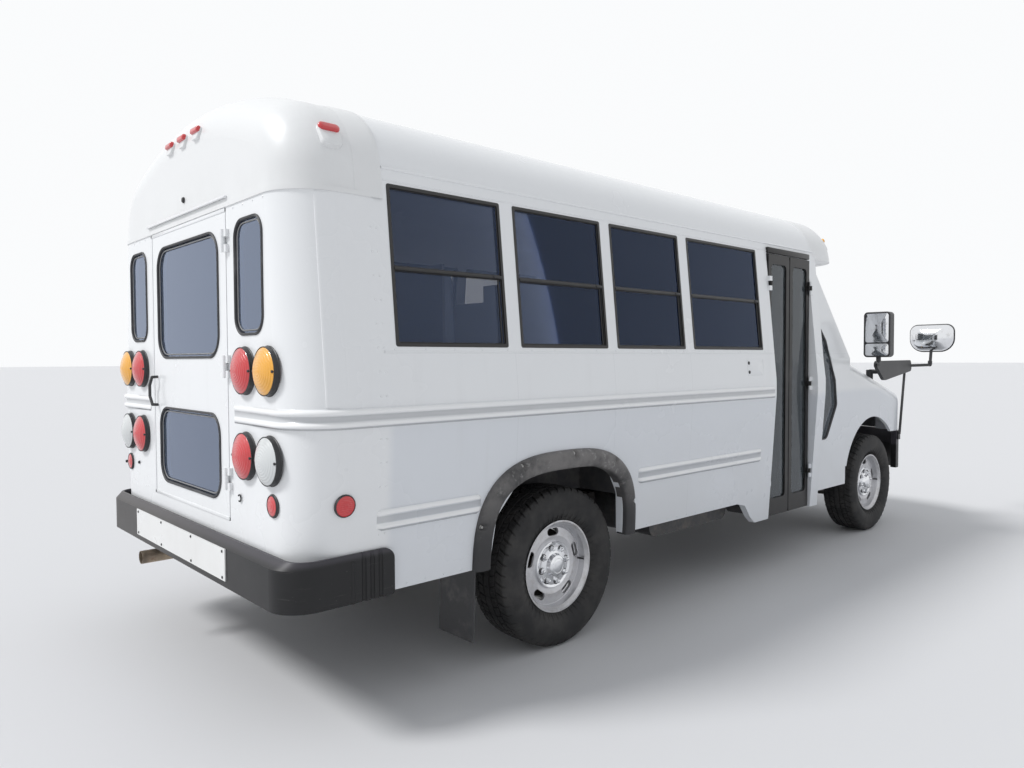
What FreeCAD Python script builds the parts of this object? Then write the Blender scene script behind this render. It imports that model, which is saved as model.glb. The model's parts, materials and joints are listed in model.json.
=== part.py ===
import FreeCAD, Part
import math
import os

# Cutaway minibus: a school-type body on a full-size van chassis. Millimetres, +X forward, +Y to the
# bus's left, +Z up. Places along X are first measured from the rear axle, and every piece is shifted by
# -MIDDLE_X at the end, so that the origin lies on the ground under the middle of the whole bus.

V = FreeCAD.Vector

# Wheels and axles
WHEELBASE = 3563.0
WHEEL_R = 382.0
TYRE_W = 245.0
TYRE_SIDES = 60             # flats around each tyre
RIM_R = 220.0
RIM_W = 190.0
WHEEL_Y = 865.0
KING_Y = 760.0
SPINDLE_R = 32.0
KING_PIN_R = 14.0


def ahead(x):
    """Place along X measured forwards from the front axle."""
    return WHEELBASE + x


def front_points(pairs):
    """Outline points whose X is measured forwards from the front axle."""
    return [(ahead(x), other) for x, other in pairs]


# Driving dimensions of the body shell
REAR_X = -1383.0            # rear face of the body
SEAM_REAR_X = -1045.0       # joint between the rear corner panels and the side walls
ROOF_FRONT_X = ahead(-1083)  # joint between the roof and the front cap
CAP_FRONT_X = ahead(-605)   # front of the overhanging front cap
WALL = 40.0                 # thickness of walls, roof and doors
RIGHT_FRONT_X = ahead(-1023)  # front ends of the bus body's two walls
LEFT_FRONT_X = ahead(-1491)
SKIRT_Z = 491.0             # lower edge of the side skirts
STEP_SKIRT_Z = 345.0        # lower edge of the skirt below the entrance
REAR_SKIRT_Z = 650.0        # lower edge of the body over the rear bumper
BELT_HALF = 1070.0          # half width at the belt, the widest place
LOW_HALF = BELT_HALF - 52   # half width at the lowest skirt edge
BELT_LOW_Z = 1130.0
BELT_HIGH_Z = 1230.0
BELT_ROUND = 500.0
LEAN = math.radians(5.64)   # inward lean of the walls above the belt
EAVE_R = 331.0
EAVE_Z = 2084.0             # where the leaning wall meets the eave's arc
CROWN_Z = EAVE_Z + 416      # top of the roof
REAR_ROUND = 188.0          # rounding of the body's rear edges
FRONT_ROUND = 250.0         # rounding of the front cap's edges
CAP_SEAM_Z = EAVE_Z - 99    # lower edge of the rear cap
CAP_LIP_Z = EAVE_Z - 24     # lower edge of the front cap
CAP_EDGE = (18.0, 5.0)      # width of the rear cap's flange and how far it stands proud
FLOOR_Z = 720.0             # top of the floor
FLOOR_T = 40.0
FIT = 0.3                   # running gap at pins and spindles
GAP = 8.0                   # gap around doors and lids

# Side windows
SILL_Z = 1425.0
HEAD_Z = EAVE_Z - 34
SASH_Z = SILL_Z + 0.48 * (HEAD_Z - SILL_Z)
WINDOW_R = 10.0
FRAME_W = 14.0
SASH_HALF = 7.0

WINDOW_SHARES = [(0.0, 0.2122), (0.2402, 0.455), (0.4815, 0.6952), (0.7251, 1.0)]  # along the wall

# Doors
ENTRANCE = (ahead(-1695), ahead(-1131))
ENTRANCE_TOP_Z = EAVE_Z - 39
LEAF_Y = BELT_HALF - 65
LEAF_T = 30.0
REAR_DOOR_HALF = 450.0
REAR_DOOR_Z = (735.0, CAP_SEAM_Z - 10)
HINGE_OUT = 14.0            # hinge axes stand this far outside the door faces
HINGE_R = 9.0
HINGE_L = 30.0
ENTRANCE_HINGES_Z = (600.0, 1200.0, ENTRANCE_TOP_Z - 195)
REAR_HINGES_Z = (900.0, 1350.0, REAR_DOOR_Z[1] - 125)
DRIVER_HINGES_Z = (640.0, 1180.0)
HOOD_HINGE = (ahead(-299), 700.0, 1372.0)
HOOD_HINGE_R = 6.0
DRIVER_DOOR_X = (LEFT_FRONT_X + 38, ahead(-511))
DRIVER_DOOR_Z = (470.0, EAVE_Z - 74)

# Cab
CAB_HALF = BELT_HALF - 85
CAB_BELT_Z = 1370.0
CAB_TOP_HALF = CAB_HALF - 123
CAB_TOP_Z = CAP_LIP_Z
CAB_T = 45.0
POST_T = 50.0                # depth of the screen pillars
COWL_X = ahead(-434.7)
COWL_Z = 1372.0
COWL_FRONT_X = HOOD_HINGE[0] - 6
HOOD_REAR_X = HOOD_HINGE[0] + 12
SCREEN_FOOT = (ahead(-451), CAB_HALF - 55, ahead(-323))  # side X, side Y and middle X at the foot
SCREEN_HEAD = (ahead(-811), CAB_TOP_HALF - 56, ahead(-703))
SCREEN_T = 8.0
NOSE_X = ahead(727)
NOSE_SIDE_X = ahead(487)
NOSE_PLAN_HALF = CAB_HALF + 15
NOSE_TOP_Z = 1085.0
HOOD_HALF = 770.0
SKIN = 22.0
FRONT_ARCH_R = 505.0
FRONT_ARCH_Z = 402.0
PLATE_HOLE_SPACING = 178.0
HITCH_HOLE_R = 8.0
HITCH_SPACING = 90.0
PIPE_R = 32.0

# Rear bumper
BUMPER_REAR_X = REAR_X - 57
BUMPER_Z = (486.0, 667.0)
BUMPER_HALF = BELT_HALF - 15
BUMPER_ROUND = 130.0
BUMPER_LIP = (36.0, 27.0)   # depth and height of the bevel along its top
BUMPER_END_X = -996.0
BUMPER_T = (48.0, 13.0)     # depth of its rear face and of its sides

# Mirrors
CROSS_MIRROR = (ahead(923), CAB_HALF + 115, 1540.0)
CROSS_W = 345.0
CROSS_H = 225.0
CROSS_D = 150.0
VIEW_MIRROR = (ahead(-353), CAB_HALF + 175, 1545.0)
VIEW_W = 190.0
VIEW_H = 335.0
VIEW_D = 70.0

MIDDLE_X = (BUMPER_REAR_X + CROSS_MIRROR[0] + CROSS_D / 2) / 2


# Small builders
def box(x, y, z):
    """Box between pairs of limits along each axis."""
    return Part.makeBox(x[1] - x[0], y[1] - y[0], z[1] - z[0], V(x[0], y[0], z[0]))


def rod(start, end, radius):
    """Round bar between two points."""
    a, b = V(*start), V(*end)
    return Part.makeCylinder(radius, (b - a).Length, a, b - a)


def fuse(shapes):
    """One shape from several that meet."""
    whole = shapes[0]
    for shape in shapes[1:]:
        whole = whole.fuse(shape)
    return whole.removeSplitter()


def mirror(shape):
    """The same shape on the other side of the bus."""
    return shape.mirror(V(0, 0, 0), V(0, 1, 0))


def both(shape):
    """A shape and its mirror image, as separate solids."""
    return [shape, mirror(shape)]


def chain(points, radii, place, closed):
    """Edges through 2-D points, each corner rounded by its own radius; place maps a point to 3-D."""
    count = len(points)
    starts, ends, arcs = [], [], []
    for i in range(count):
        here = FreeCAD.Vector(points[i][0], points[i][1], 0)
        radius = radii[i]
        end_point = not closed and i in (0, count - 1)
        if radius <= 0 or end_point:
            starts.append(here)
            ends.append(here)
            arcs.append(None)
            continue
        back = FreeCAD.Vector(*points[i - 1], 0) - here
        onward = FreeCAD.Vector(*points[(i + 1) % count], 0) - here
        back.normalize()
        onward.normalize()
        half = back.getAngle(onward) / 2
        reach = radius / math.tan(half)
        middle = back + onward
        middle.normalize()
        starts.append(here + back * reach)
        ends.append(here + onward * reach)
        arcs.append(here + middle * (radius / math.sin(half) - radius))
    edges = []
    for i in range(count):
        if arcs[i] is not None:
            edges.append(Part.Arc(place(starts[i]), place(arcs[i]), place(ends[i])).toShape())
        if i == count - 1 and not closed:
            break
        a, b = ends[i], starts[(i + 1) % count]
        if (b - a).Length > 1e-6:
            edges.append(Part.LineSegment(place(a), place(b)).toShape())
    return edges


def outline(points, radius, place):
    """Closed wire through 2-D points with rounded corners."""
    radii = radius if isinstance(radius, (list, tuple)) else [radius] * len(points)
    return Part.Wire(chain(points, radii, place, True))


def plate_xz(points, y, radius=0.0):
    """Prism of an outline drawn in side view, between two Y limits."""
    wire = outline(points, radius, lambda p: V(p.x, y[0], p.y))
    return Part.Face(wire).extrude(V(0, y[1] - y[0], 0))


def plate_yz(points, x, radius=0.0):
    """Prism of an outline drawn in end view, between two X limits."""
    wire = outline(points, radius, lambda p: V(x[0], p.x, p.y))
    return Part.Face(wire).extrude(V(x[1] - x[0], 0, 0))


def plate_xy(points, z, radius=0.0):
    """Prism of an outline drawn from above, between two Z limits."""
    wire = outline(points, radius, lambda p: V(p.x, p.y, z[0]))
    return Part.Face(wire).extrude(V(0, 0, z[1] - z[0]))


def rectangle(a, b, inset=0.0):
    """Corner points of a rectangle between two pairs of limits, made smaller by the inset."""
    return [(a[0] + inset, b[0] + inset), (a[1] - inset, b[0] + inset),
            (a[1] - inset, b[1] - inset), (a[0] + inset, b[1] - inset)]


def turned(points, x, y, z):
    """Solid of revolution about the Y direction: points are (distance from axis, place along Y)."""
    wire = Part.makePolygon([V(x + r, y + t, z) for r, t in points + points[:1]])
    return Part.Face(wire).revolve(V(x, y, z), V(0, 1, 0), 360)


def hinge(x, y, z, door_plates, frame_plates):
    """Knuckles on one upright axis: the middle one on the door, the outer two on the frame."""
    half = HINGE_L / 2
    ends = half + FIT
    spans = [(z - half, z + half), (z - ends - HINGE_L, z - ends), (z + ends, z + ends + HINGE_L)]
    parts = []
    for span, plates in zip(spans, (door_plates, frame_plates, frame_plates)):
        knuckle_part = [rod((x, y, span[0]), (x, y, span[1]), HINGE_R)]
        knuckle_part += [box(px, py, span) for px, py in plates]
        parts.append(fuse(knuckle_part))
    return parts[0], parts[1:]


# Body shell
def eave_arc():
    """Centre and end angle of the eave's arc, and the roof radius that touches it and the crown."""
    wall_reach = BELT_HALF * math.cos(LEAN) + BELT_HIGH_Z * math.sin(LEAN)
    z = EAVE_Z - EAVE_R * math.sin(LEAN)
    y = (wall_reach - EAVE_R - z * math.sin(LEAN)) / math.cos(LEAN)
    drop = CROWN_Z - z
    roof_r = (y * y + drop * drop - EAVE_R * EAVE_R) / (2 * (drop - EAVE_R))
    return y, z, math.asin(y / (roof_r - EAVE_R))


EAVE_Y, EAVE_CENTRE_Z, EAVE_TURN = eave_arc()
SKIRT_LEAN = math.atan((BELT_HALF - LOW_HALF) / (BELT_LOW_Z - STEP_SKIRT_Z))


def wall_half(z, inset=0.0):
    """Half width of the body at a height."""
    if z >= BELT_HIGH_Z:
        return BELT_HALF - (z - BELT_HIGH_Z) * math.tan(LEAN) - inset / math.cos(LEAN)
    if z >= BELT_LOW_Z:
        return BELT_HALF - inset
    return BELT_HALF - (BELT_LOW_Z - z) * math.tan(SKIRT_LEAN) - inset / math.cos(SKIRT_LEAN)


def section_face(x, inset, bottom_z):
    """Face across the body: skirts, belt, leaning walls, eaves and roof, moved inwards by the inset."""
    def place(p):
        return V(x, p.x, p.y)

    eave_r = EAVE_R - inset
    wall_top = (EAVE_Y + eave_r * math.cos(LEAN), EAVE_CENTRE_Z + eave_r * math.sin(LEAN))
    eave_mid = (EAVE_TURN + math.pi / 2 - LEAN) / 2
    arc_mid = (EAVE_Y + eave_r * math.sin(eave_mid), EAVE_CENTRE_Z + eave_r * math.cos(eave_mid))
    roof_side = (EAVE_Y + eave_r * math.sin(EAVE_TURN), EAVE_CENTRE_Z + eave_r * math.cos(EAVE_TURN))
    belt = BELT_HALF - inset
    low_z = BELT_LOW_Z + inset * math.tan(SKIRT_LEAN / 2)
    high_z = BELT_HIGH_Z - inset * math.tan(LEAN / 2)
    left = [(wall_half(bottom_z, inset), bottom_z), (belt, low_z), (belt, high_z), wall_top]
    rounds = [0, BELT_ROUND - inset, BELT_ROUND - inset, 0]
    right = [(-y, z) for y, z in reversed(left)]
    edges = chain(left, rounds, place, False)
    edges.append(Part.Arc(V(x, *wall_top), V(x, *arc_mid), V(x, *roof_side)).toShape())
    crown = V(x, 0, CROWN_Z - inset)
    edges.append(Part.Arc(V(x, *roof_side), crown, V(x, -roof_side[0], roof_side[1])).toShape())
    edges.append(Part.Arc(V(x, -roof_side[0], roof_side[1]), V(x, -arc_mid[0], arc_mid[1]),
                          V(x, -wall_top[0], wall_top[1])).toShape())
    edges += chain(right, rounds, place, False)
    edges.append(Part.LineSegment(V(x, *right[-1]), V(x, *left[0])).toShape())
    return Part.Face(Part.Wire(edges))


def end_edges(solid, x, bottom_z):
    """Edges around an end face, apart from the bottom one."""
    found = []
    for edge in solid.Edges:
        bounds = edge.BoundBox
        flat = abs(bounds.XMin - x) < 0.01 and abs(bounds.XMax - x) < 0.01
        if flat and bounds.ZMax > bottom_z + 1:
            found.append(edge)
    return found


def body_solid(inset):
    """The body's outer form, inset by a thickness, with its rear and front edges rounded."""
    rear, front = REAR_X + inset, CAP_FRONT_X - inset
    solid = section_face(rear, inset, STEP_SKIRT_Z).extrude(V(front - rear, 0, 0))
    solid = solid.makeFillet(REAR_ROUND - inset, end_edges(solid, rear, STEP_SKIRT_Z))
    return solid.makeFillet(FRONT_ROUND - inset, end_edges(solid, front, STEP_SKIRT_Z))


FORMS = {}


def form(inset):
    """Body form for one inset, made once."""
    if inset not in FORMS:
        FORMS[inset] = body_solid(inset)
    return FORMS[inset]


def skin(outer, inner, region):
    """The layer of the body between two insets, inside a region."""
    return region.common(form(outer)).cut(form(inner))


WIDE = BELT_HALF + 230
RIGHT = (-WIDE, -300.0)
LEFT = (300.0, WIDE)

ARCH_OUTER = [(-592, 485), (-540, 740), (-400, 905), (-250, 952), (190, 952), (340, 905), (440, 740),
              (472, 485)]
ARCH_BAND = 82.0
ARCH_TOP_Z = 952.0


def arch_points(inset):
    """Outline of the rear wheel arch in side view, made smaller by the inset."""
    middle = sum(x for x, z in ARCH_OUTER) / len(ARCH_OUTER)
    half = ARCH_OUTER[-1][0] - middle
    points = []
    for x, z in ARCH_OUTER:
        top = (ARCH_TOP_Z - inset - SKIRT_Z) / (ARCH_TOP_Z - SKIRT_Z)
        points.append((middle + (x - middle) * (half - inset) / half, SKIRT_Z + (z - SKIRT_Z) * top))
    if inset > 0:
        points = [(points[0][0], 400)] + points[1:-1] + [(points[-1][0], 400)]
    return points


def arch_tool(inset, y):
    """Prism of the rear wheel arch."""
    return plate_xz(arch_points(inset), y, [0, 60, 120, 120, 120, 120, 60, 0])


def window_spans():
    """Limits along X of the four side windows, as shares of the wall between its two ends."""
    start, end = SEAM_REAR_X + 67, ENTRANCE[0] - 136
    return [(start + a * (end - start), start + b * (end - start)) for a, b in WINDOW_SHARES]


SIDE_WINDOWS = window_spans()


def side_windows(inset, y):
    """Prisms of the four side windows."""
    radius = max(WINDOW_R - inset, 8)
    return [plate_xz(rectangle(x, (SILL_Z, HEAD_Z), inset), y, radius) for x in SIDE_WINDOWS]


JAMB = 26.0


def entrance_hinges(end):
    """Hinges of one entrance leaf: end 0 is the rear leaf, end 1 the front one."""
    out = (-1, 1)[end]
    edge = ENTRANCE[end]
    x, y = edge - out * 12, -LEAF_Y - HINGE_OUT
    door_plates = [(sorted((x, x - out * 24)), (y, -LEAF_Y + 1))]
    frame_plates = [(sorted((edge, edge + out * 16)), (y - HINGE_R, -LEAF_Y + 20)),
                    (sorted((x, edge + out * 16)), (y - HINGE_R, y + HINGE_R))]
    return [hinge(x, y, z, door_plates, frame_plates) for z in ENTRANCE_HINGES_Z]


def rear_hinges():
    """Hinges of the emergency door, on its right edge."""
    x, y = REAR_X - HINGE_OUT, -REAR_DOOR_HALF - GAP + 2
    door_plates = [((x, REAR_X + 1), (y, y + 34))]
    frame_plates = [((x, REAR_X + 1), (y - 30, y))]
    return [hinge(x, y, z, door_plates, frame_plates) for z in REAR_HINGES_Z]


def driver_hinges():
    """Hinges of the driver's door, at its front edge."""
    x, y = DRIVER_DOOR_X[1] + GAP - 2, CAB_HALF + HINGE_OUT
    door_plates = [((x - 30, x), (CAB_HALF - 1, y))]
    frame_plates = [((x, x + 30), (CAB_HALF - 1, y))]
    return [hinge(x, y, z, door_plates, frame_plates) for z in DRIVER_HINGES_Z]


def hood_hinges(part):
    """Hinge knuckles of the hood: part is hood or cowl."""
    x, y, z = HOOD_HINGE
    half = HINGE_L / 2
    if part == "hood":
        pieces = [fuse([rod((x, y - half, z), (x, y + half, z), HOOD_HINGE_R),
                        box((x - 2, x + 24), (y - half, y + half), (z - 34, z))])]
    else:
        pieces = []
        for low in (y - half - FIT - HINGE_L, y + half + FIT):
            lug = rod((x, low, z), (x, low + HINGE_L, z), HOOD_HINGE_R)
            foot = box((COWL_FRONT_X - 10, x), (low, low + HINGE_L), (z - 22, z + 2))
            pieces.append(fuse([lug, foot]))
    return pieces + [mirror(piece) for piece in pieces]


def jamb_posts(spare):
    """Upright posts beside the entrance, made larger by the spare."""
    posts = []
    for edge, out in ((ENTRANCE[0], -1), (ENTRANCE[1], 1)):
        x = sorted((edge, edge + out * JAMB))
        posts.append(box((x[0] - spare, x[1] + spare), (-LEAF_Y - 40, -LEAF_Y + 42 + spare),
                         (STEP_SKIRT_Z, ENTRANCE_TOP_Z + 20)))
    return posts


SKIRT_DROP = [(388, SKIRT_Z), (298, SKIRT_Z - 21), (228, STEP_SKIRT_Z + 45), (168, STEP_SKIRT_Z)]
ENTRANCE_SKIRT = [(ENTRANCE[0] - back, z) for back, z in SKIRT_DROP]


def side_wall_right():
    """Right wall from the rear corner seam to the post ahead of the entrance."""
    points = [(SEAM_REAR_X, SKIRT_Z)] + ENTRANCE_SKIRT
    points += [(RIGHT_FRONT_X, STEP_SKIRT_Z), (RIGHT_FRONT_X, EAVE_Z), (SEAM_REAR_X, EAVE_Z)]
    wall = skin(0.0, WALL, plate_xz(points, RIGHT))
    door = box(ENTRANCE, RIGHT, (STEP_SKIRT_Z - 10, ENTRANCE_TOP_Z))
    wall = wall.cut(side_windows(0, RIGHT) + [arch_tool(ARCH_BAND - 8, RIGHT), door])
    jambs = [post.common(form(0.0)) for post in jamb_posts(0.0)]
    frame_hinges = []
    for end in (0, 1):
        for door_part, frame_parts in entrance_hinges(end):
            frame_hinges += frame_parts
    return fuse([wall] + jambs + frame_hinges)


def side_wall_left():
    """Left wall from the rear corner seam to the driver's door."""
    points = rectangle((SEAM_REAR_X, LEFT_FRONT_X), (SKIRT_Z, EAVE_Z))
    wall = skin(0.0, WALL, plate_xz(points, LEFT))
    return wall.cut(side_windows(0, LEFT) + [arch_tool(ARCH_BAND - 8, LEFT)])


def roof():
    """Roof skin between the two moulded caps."""
    return skin(0.0, WALL, box((SEAM_REAR_X, ROOF_FRONT_X), (-WIDE, WIDE), (EAVE_Z, CROWN_Z + 10)))


REAR_SIDE_WINDOW = ((543, 790), (1475, CAP_SEAM_Z - 69))
DOOR_WINDOWS = [((-371, 371), (1389, CAP_SEAM_Z - 80), 100), ((-366, 366), (802, 1152), 90)]


def rear_wall():
    """Rear wall with its corner panels, door opening and two small windows."""
    shell = skin(0.0, WALL, box((REAR_X - 10, SEAM_REAR_X), (-WIDE, WIDE), (REAR_SKIRT_Z, CAP_SEAM_Z)))
    half = REAR_DOOR_HALF + GAP
    door = box((REAR_X - 50, REAR_X + 80), (-half, half), (REAR_DOOR_Z[0] - GAP, REAR_DOOR_Z[1] + GAP))
    window = plate_yz(rectangle(*REAR_SIDE_WINDOW), (REAR_X - 50, REAR_X + 80), 70)
    frame_hinges = []
    for door_part, frame_parts in rear_hinges():
        frame_hinges += frame_parts
    return fuse([shell.cut([door] + both(window))] + frame_hinges)


def rear_cap():
    """Moulded rear cap above the seam, with the upper corners and a raised flange along its edges."""
    width, proud = CAP_EDGE
    shell_front, shell_low = SEAM_REAR_X - width, CAP_SEAM_Z + width
    shell = skin(0.0, WALL, box((REAR_X - 10, shell_front), (-WIDE, WIDE), (shell_low, CROWN_Z + 10)))
    low = skin(-proud, WALL, box((REAR_X - 10, SEAM_REAR_X), (-WIDE, WIDE), (CAP_SEAM_Z, shell_low)))
    edge = skin(-proud, WALL, box((shell_front, SEAM_REAR_X), (-WIDE, WIDE), (shell_low, CROWN_Z + 10)))
    return fuse([shell, low, edge])


def front_cap():
    """Moulded front cap that overhangs the windscreen, with its closed underside."""
    region = box((ROOF_FRONT_X, CAP_FRONT_X + 10), (-WIDE, WIDE), (CAP_LIP_Z, CROWN_Z + 10))
    side = box((ROOF_FRONT_X, RIGHT_FRONT_X), (-WIDE, WIDE), (CAP_LIP_Z - 1, EAVE_Z))
    inner = form(WALL).cut(box((ROOF_FRONT_X, CAP_FRONT_X + 10), (-WIDE, WIDE), (0, CAP_LIP_Z + 25)))
    return region.common(form(0.0)).cut([inner, side])


def window_frames():
    """Dark frames of the side windows with a bar between the two sashes."""
    frames = []
    for y in (RIGHT, LEFT):
        for x, hole, cut in zip(SIDE_WINDOWS, side_windows(0.5, y), side_windows(FRAME_W, y)):
            ring = skin(-2.0, 26.0, hole.cut(cut))
            bar_x = (x[0] + FRAME_W - 1, x[1] - FRAME_W + 1)
            bar = skin(1.0, 24.0, box(bar_x, y, (SASH_Z - SASH_HALF, SASH_Z + SASH_HALF)))
            frames.append(ring.fuse(bar))
    return frames


def window_glass():
    """Panes of the side windows and of the two small rear windows."""
    panes = []
    for y in (RIGHT, LEFT):
        for x in SIDE_WINDOWS:
            inner_r = max(WINDOW_R - FRAME_W, 8)
            for z, rounds in (((SILL_Z + FRAME_W, SASH_Z - SASH_HALF), [inner_r, inner_r, 0, 0]),
                              ((SASH_Z + SASH_HALF, HEAD_Z - FRAME_W), [0, 0, inner_r, inner_r])):
                pane = plate_xz(rectangle((x[0] + FRAME_W, x[1] - FRAME_W), z, FIT), y, rounds)
                panes.append(skin(8.0, 14.0, pane))
    small = plate_yz(rectangle(*REAR_SIDE_WINDOW, 0.3), (REAR_X + 6, REAR_X + 12), 70)
    return panes + both(small)


def rub_rails():
    """Two ridges along the belt that wrap the rear corners, and the shorter lower rails."""
    rails = []
    for z in ((1131, 1150), (1176, 1195)):
        for y, front in (((-WIDE, -515), ENTRANCE[0] - 18), ((515, WIDE), LEFT_FRONT_X - 12)):
            rails.append(skin(-16.0, 0.0, box((REAR_X - 20, front), y, z)))
    for x in ((-1069, -610), (497, ENTRANCE[0] - 148)):
        for y in (RIGHT, LEFT):
            for z in ((732, 758), (788, 814)):
                rails.append(skin(-14.0, 0.0, box(x, y, z)))
    return rails


def wheel_trim():
    """Flared rings around the rear arches and the mud flaps behind the wheels."""
    pieces = []
    for y in (RIGHT, LEFT):
        band = arch_tool(0.0, y).cut(arch_tool(ARCH_BAND, y))
        pieces.append(skin(-34.0, 0.0, band))
    flap = box((-545, -535), (742, 985), (160, FLOOR_Z - FLOOR_T))
    return pieces + both(flap)


def floor():
    """Floor with boxes over the rear wheels and the well of the entrance steps."""
    slab = form(WALL).common(box((REAR_X, RIGHT_FRONT_X), (-WIDE, WIDE), (FLOOR_Z - FLOOR_T, FLOOR_Z)))
    inside = CAB_HALF - POST_T
    front = box((RIGHT_FRONT_X, ahead(-523)), (-inside, inside), (FLOOR_Z - FLOOR_T, FLOOR_Z))
    arch = box((-500, 440), (690, WIDE), (FLOOR_Z - FLOOR_T - 1, 905))
    arch_in = box((-480, 420), (710, WIDE), (FLOOR_Z - FLOOR_T - 2, 885))
    houses = []
    for solid in both(arch.cut(arch_in)):
        houses.append(form(WALL).common(solid))
    well = box((ENTRANCE[0], ENTRANCE[1]), (-WIDE, -560), (300, FLOOR_Z + 1))
    beside_door = box((LEFT_FRONT_X - FIT, ahead(-1003)), (CAB_HALF - 53, WIDE), (600, 800))
    base = slab.fuse(front).cut(both(arch_in) + [well, beside_door])
    run = [(-968, 375), (-760, 375), (-760, 545), (-560, 545), (-560, FLOOR_Z - FLOOR_T),
           (-540, FLOOR_Z - FLOOR_T), (-540, 525), (-740, 525), (-740, 355), (-968, 355)]
    steps = plate_yz(run, (ENTRANCE[0] - 20, ENTRANCE[1] + 20))
    cheeks = []
    for x in ((ENTRANCE[0] - 20, ENTRANCE[0]), (ENTRANCE[1], ENTRANCE[1] + 20)):
        cheek = plate_yz([(-968, 355), (-740, 355), (-540, 525), (-540, FLOOR_Z), (-968, FLOOR_Z)], x)
        cheeks.append(cheek)
    return fuse([base, steps] + houses + cheeks).cut(jamb_posts(FIT))


# Doors
def leaf(x, end):
    """One glazed leaf of the entrance door, with its frame, hinges and pane."""
    low, high = STEP_SKIRT_Z + 8, ENTRANCE_TOP_Z - 6
    y = (-LEAF_Y, -LEAF_Y + LEAF_T)
    frame = plate_xz(rectangle(x, (low, high)), y)
    opening_x, opening_z = (x[0] + 38, x[1] - 38), (low + 110, high - 60)
    hole = plate_xz(rectangle(opening_x, opening_z), y, 30)
    pane = plate_xz(rectangle(opening_x, opening_z, FIT), (y[0] + 11, y[0] + 17), 30)
    hinges = [door_part for door_part, frame_parts in entrance_hinges(end)]
    return fuse([frame.cut(hole)] + hinges), pane


def bent_rod(points, radius):
    """Round bar along a line of points, with a ball at each bend."""
    pieces = [rod(a, b, radius) for a, b in zip(points[:-1], points[1:])]
    return pieces + [Part.makeSphere(radius, V(*p)) for p in points[1:-1]]


PULL = [(REAR_X + 4, 392, 1162), (REAR_X - 30, 394, 1164), (REAR_X - 32, 424, 1204),
        (REAR_X - 32, 424, 1256), (REAR_X - 30, 394, 1296), (REAR_X + 4, 392, 1298)]


def rear_door():
    """Emergency door in the rear wall with its two windows and its handle."""
    x = (REAR_X, REAR_X + WALL)
    door = plate_yz(rectangle((-REAR_DOOR_HALF, REAR_DOOR_HALF), REAR_DOOR_Z), x, 12)
    holes, panes = [], []
    for y, z, radius in DOOR_WINDOWS:
        holes.append(plate_yz(rectangle(y, z), (x[0] - 5, x[1] + 5), radius))
        panes.append(plate_yz(rectangle(y, z, 0.3), (x[0] + 8, x[0] + 14), radius))
    hinges = [door_part for door_part, frame_parts in rear_hinges()]
    return fuse([door.cut(holes)] + bent_rod(PULL, 7) + hinges), panes


def cab_half(z, inset=0.0):
    """Half width of the van cab at a height."""
    if z <= CAB_BELT_Z:
        return CAB_HALF - inset
    share = (z - CAB_BELT_Z) / (CAB_TOP_Z - CAB_BELT_Z)
    return CAB_HALF - inset + (CAB_TOP_HALF - CAB_HALF) * share


def cab_skin(x, inset_a, inset_b, side):
    """Side layer of the van cab, straight below the belt and leaning above it."""
    low = 430.0
    rows = [(low, inset_a), (CAB_BELT_Z, inset_a), (CAB_TOP_Z, inset_a),
            (CAB_TOP_Z, inset_b), (CAB_BELT_Z, inset_b), (low, inset_b)]
    points = [(side * cab_half(z, inset), z) for z, inset in rows]
    return plate_yz(points, x)


PILLAR_LOW = ((ahead(-501), ahead(-435)), (CAB_HALF - POST_T, CAB_HALF))
PILLAR_TOP = ((ahead(-873), ahead(-807)), (CAB_TOP_HALF - POST_T - 2, CAB_TOP_HALF))


def pillar(low, top, z):
    """Post with a rectangular section that changes evenly from its foot to its head."""
    wires = []
    for (x, y), height in ((low, z[0]), (top, z[1])):
        corners = rectangle(x, y)
        wires.append(Part.makePolygon([V(a, b, height) for a, b in corners + corners[:1]]))
    return Part.makeLoft(wires, True, True)


def door_outline(inset):
    """Side outline of the driver's door: upright below the belt, along the screen pillar above it."""
    x, z = DRIVER_DOOR_X, DRIVER_DOOR_Z
    rise = (DRIVER_DOOR_Z[1] - CAB_BELT_Z) / (CAB_TOP_Z - CAB_BELT_Z)
    top_x = PILLAR_LOW[0][0] + (PILLAR_TOP[0][0] - PILLAR_LOW[0][0]) * rise - 14
    return [(x[0] + inset, z[0] + inset), (x[1] - inset, z[0] + inset), (x[1] - inset, CAB_BELT_Z),
            (top_x - inset, z[1] - inset), (x[0] + inset, z[1] - inset)]


def driver_door():
    """Driver's door with its window opening, as thick as the cab wall."""
    blank = plate_xz(door_outline(0.0), (0, WIDE), [60, 60, 0, 60, 60])
    door = cab_skin((ahead(-1563), ahead(-433)), 0.0, CAB_T, 1).common(blank)
    x, z = DRIVER_DOOR_X, DRIVER_DOOR_Z
    edge = door_outline(0.0)[3][0]
    slope = (x[1] - edge) / (z[1] - CAB_BELT_Z)
    sill = CAB_BELT_Z + 40
    head = z[1] - 70
    hole_points = [(x[0] + 75, sill), (x[1] - 75 - slope * 40, sill), (edge - 75 + slope * 70, head),
                   (x[0] + 75, head)]
    hole = plate_xz(hole_points, (0, WIDE), 45)
    pane = cab_skin((ahead(-1563), ahead(-433)), 18.0, 24.0, 1).common(hole)
    grip = box((x[0] + 60, x[0] + 190), (CAB_HALF, CAB_HALF + 24), (1120, 1150))
    hinges = [door_part for door_part, frame_parts in driver_hinges()]
    return fuse([door.cut(hole), grip] + hinges), pane


QUARTER = front_points([(-951, 1690), (-913, 1690), (-793, 1500), (-683, 1210), (-655, 1030), (-815, 792),
                        (-951, 792)])
QUARTER_ROUNDS = [12, 14, 60, 60, 60, 60, 30]


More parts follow.
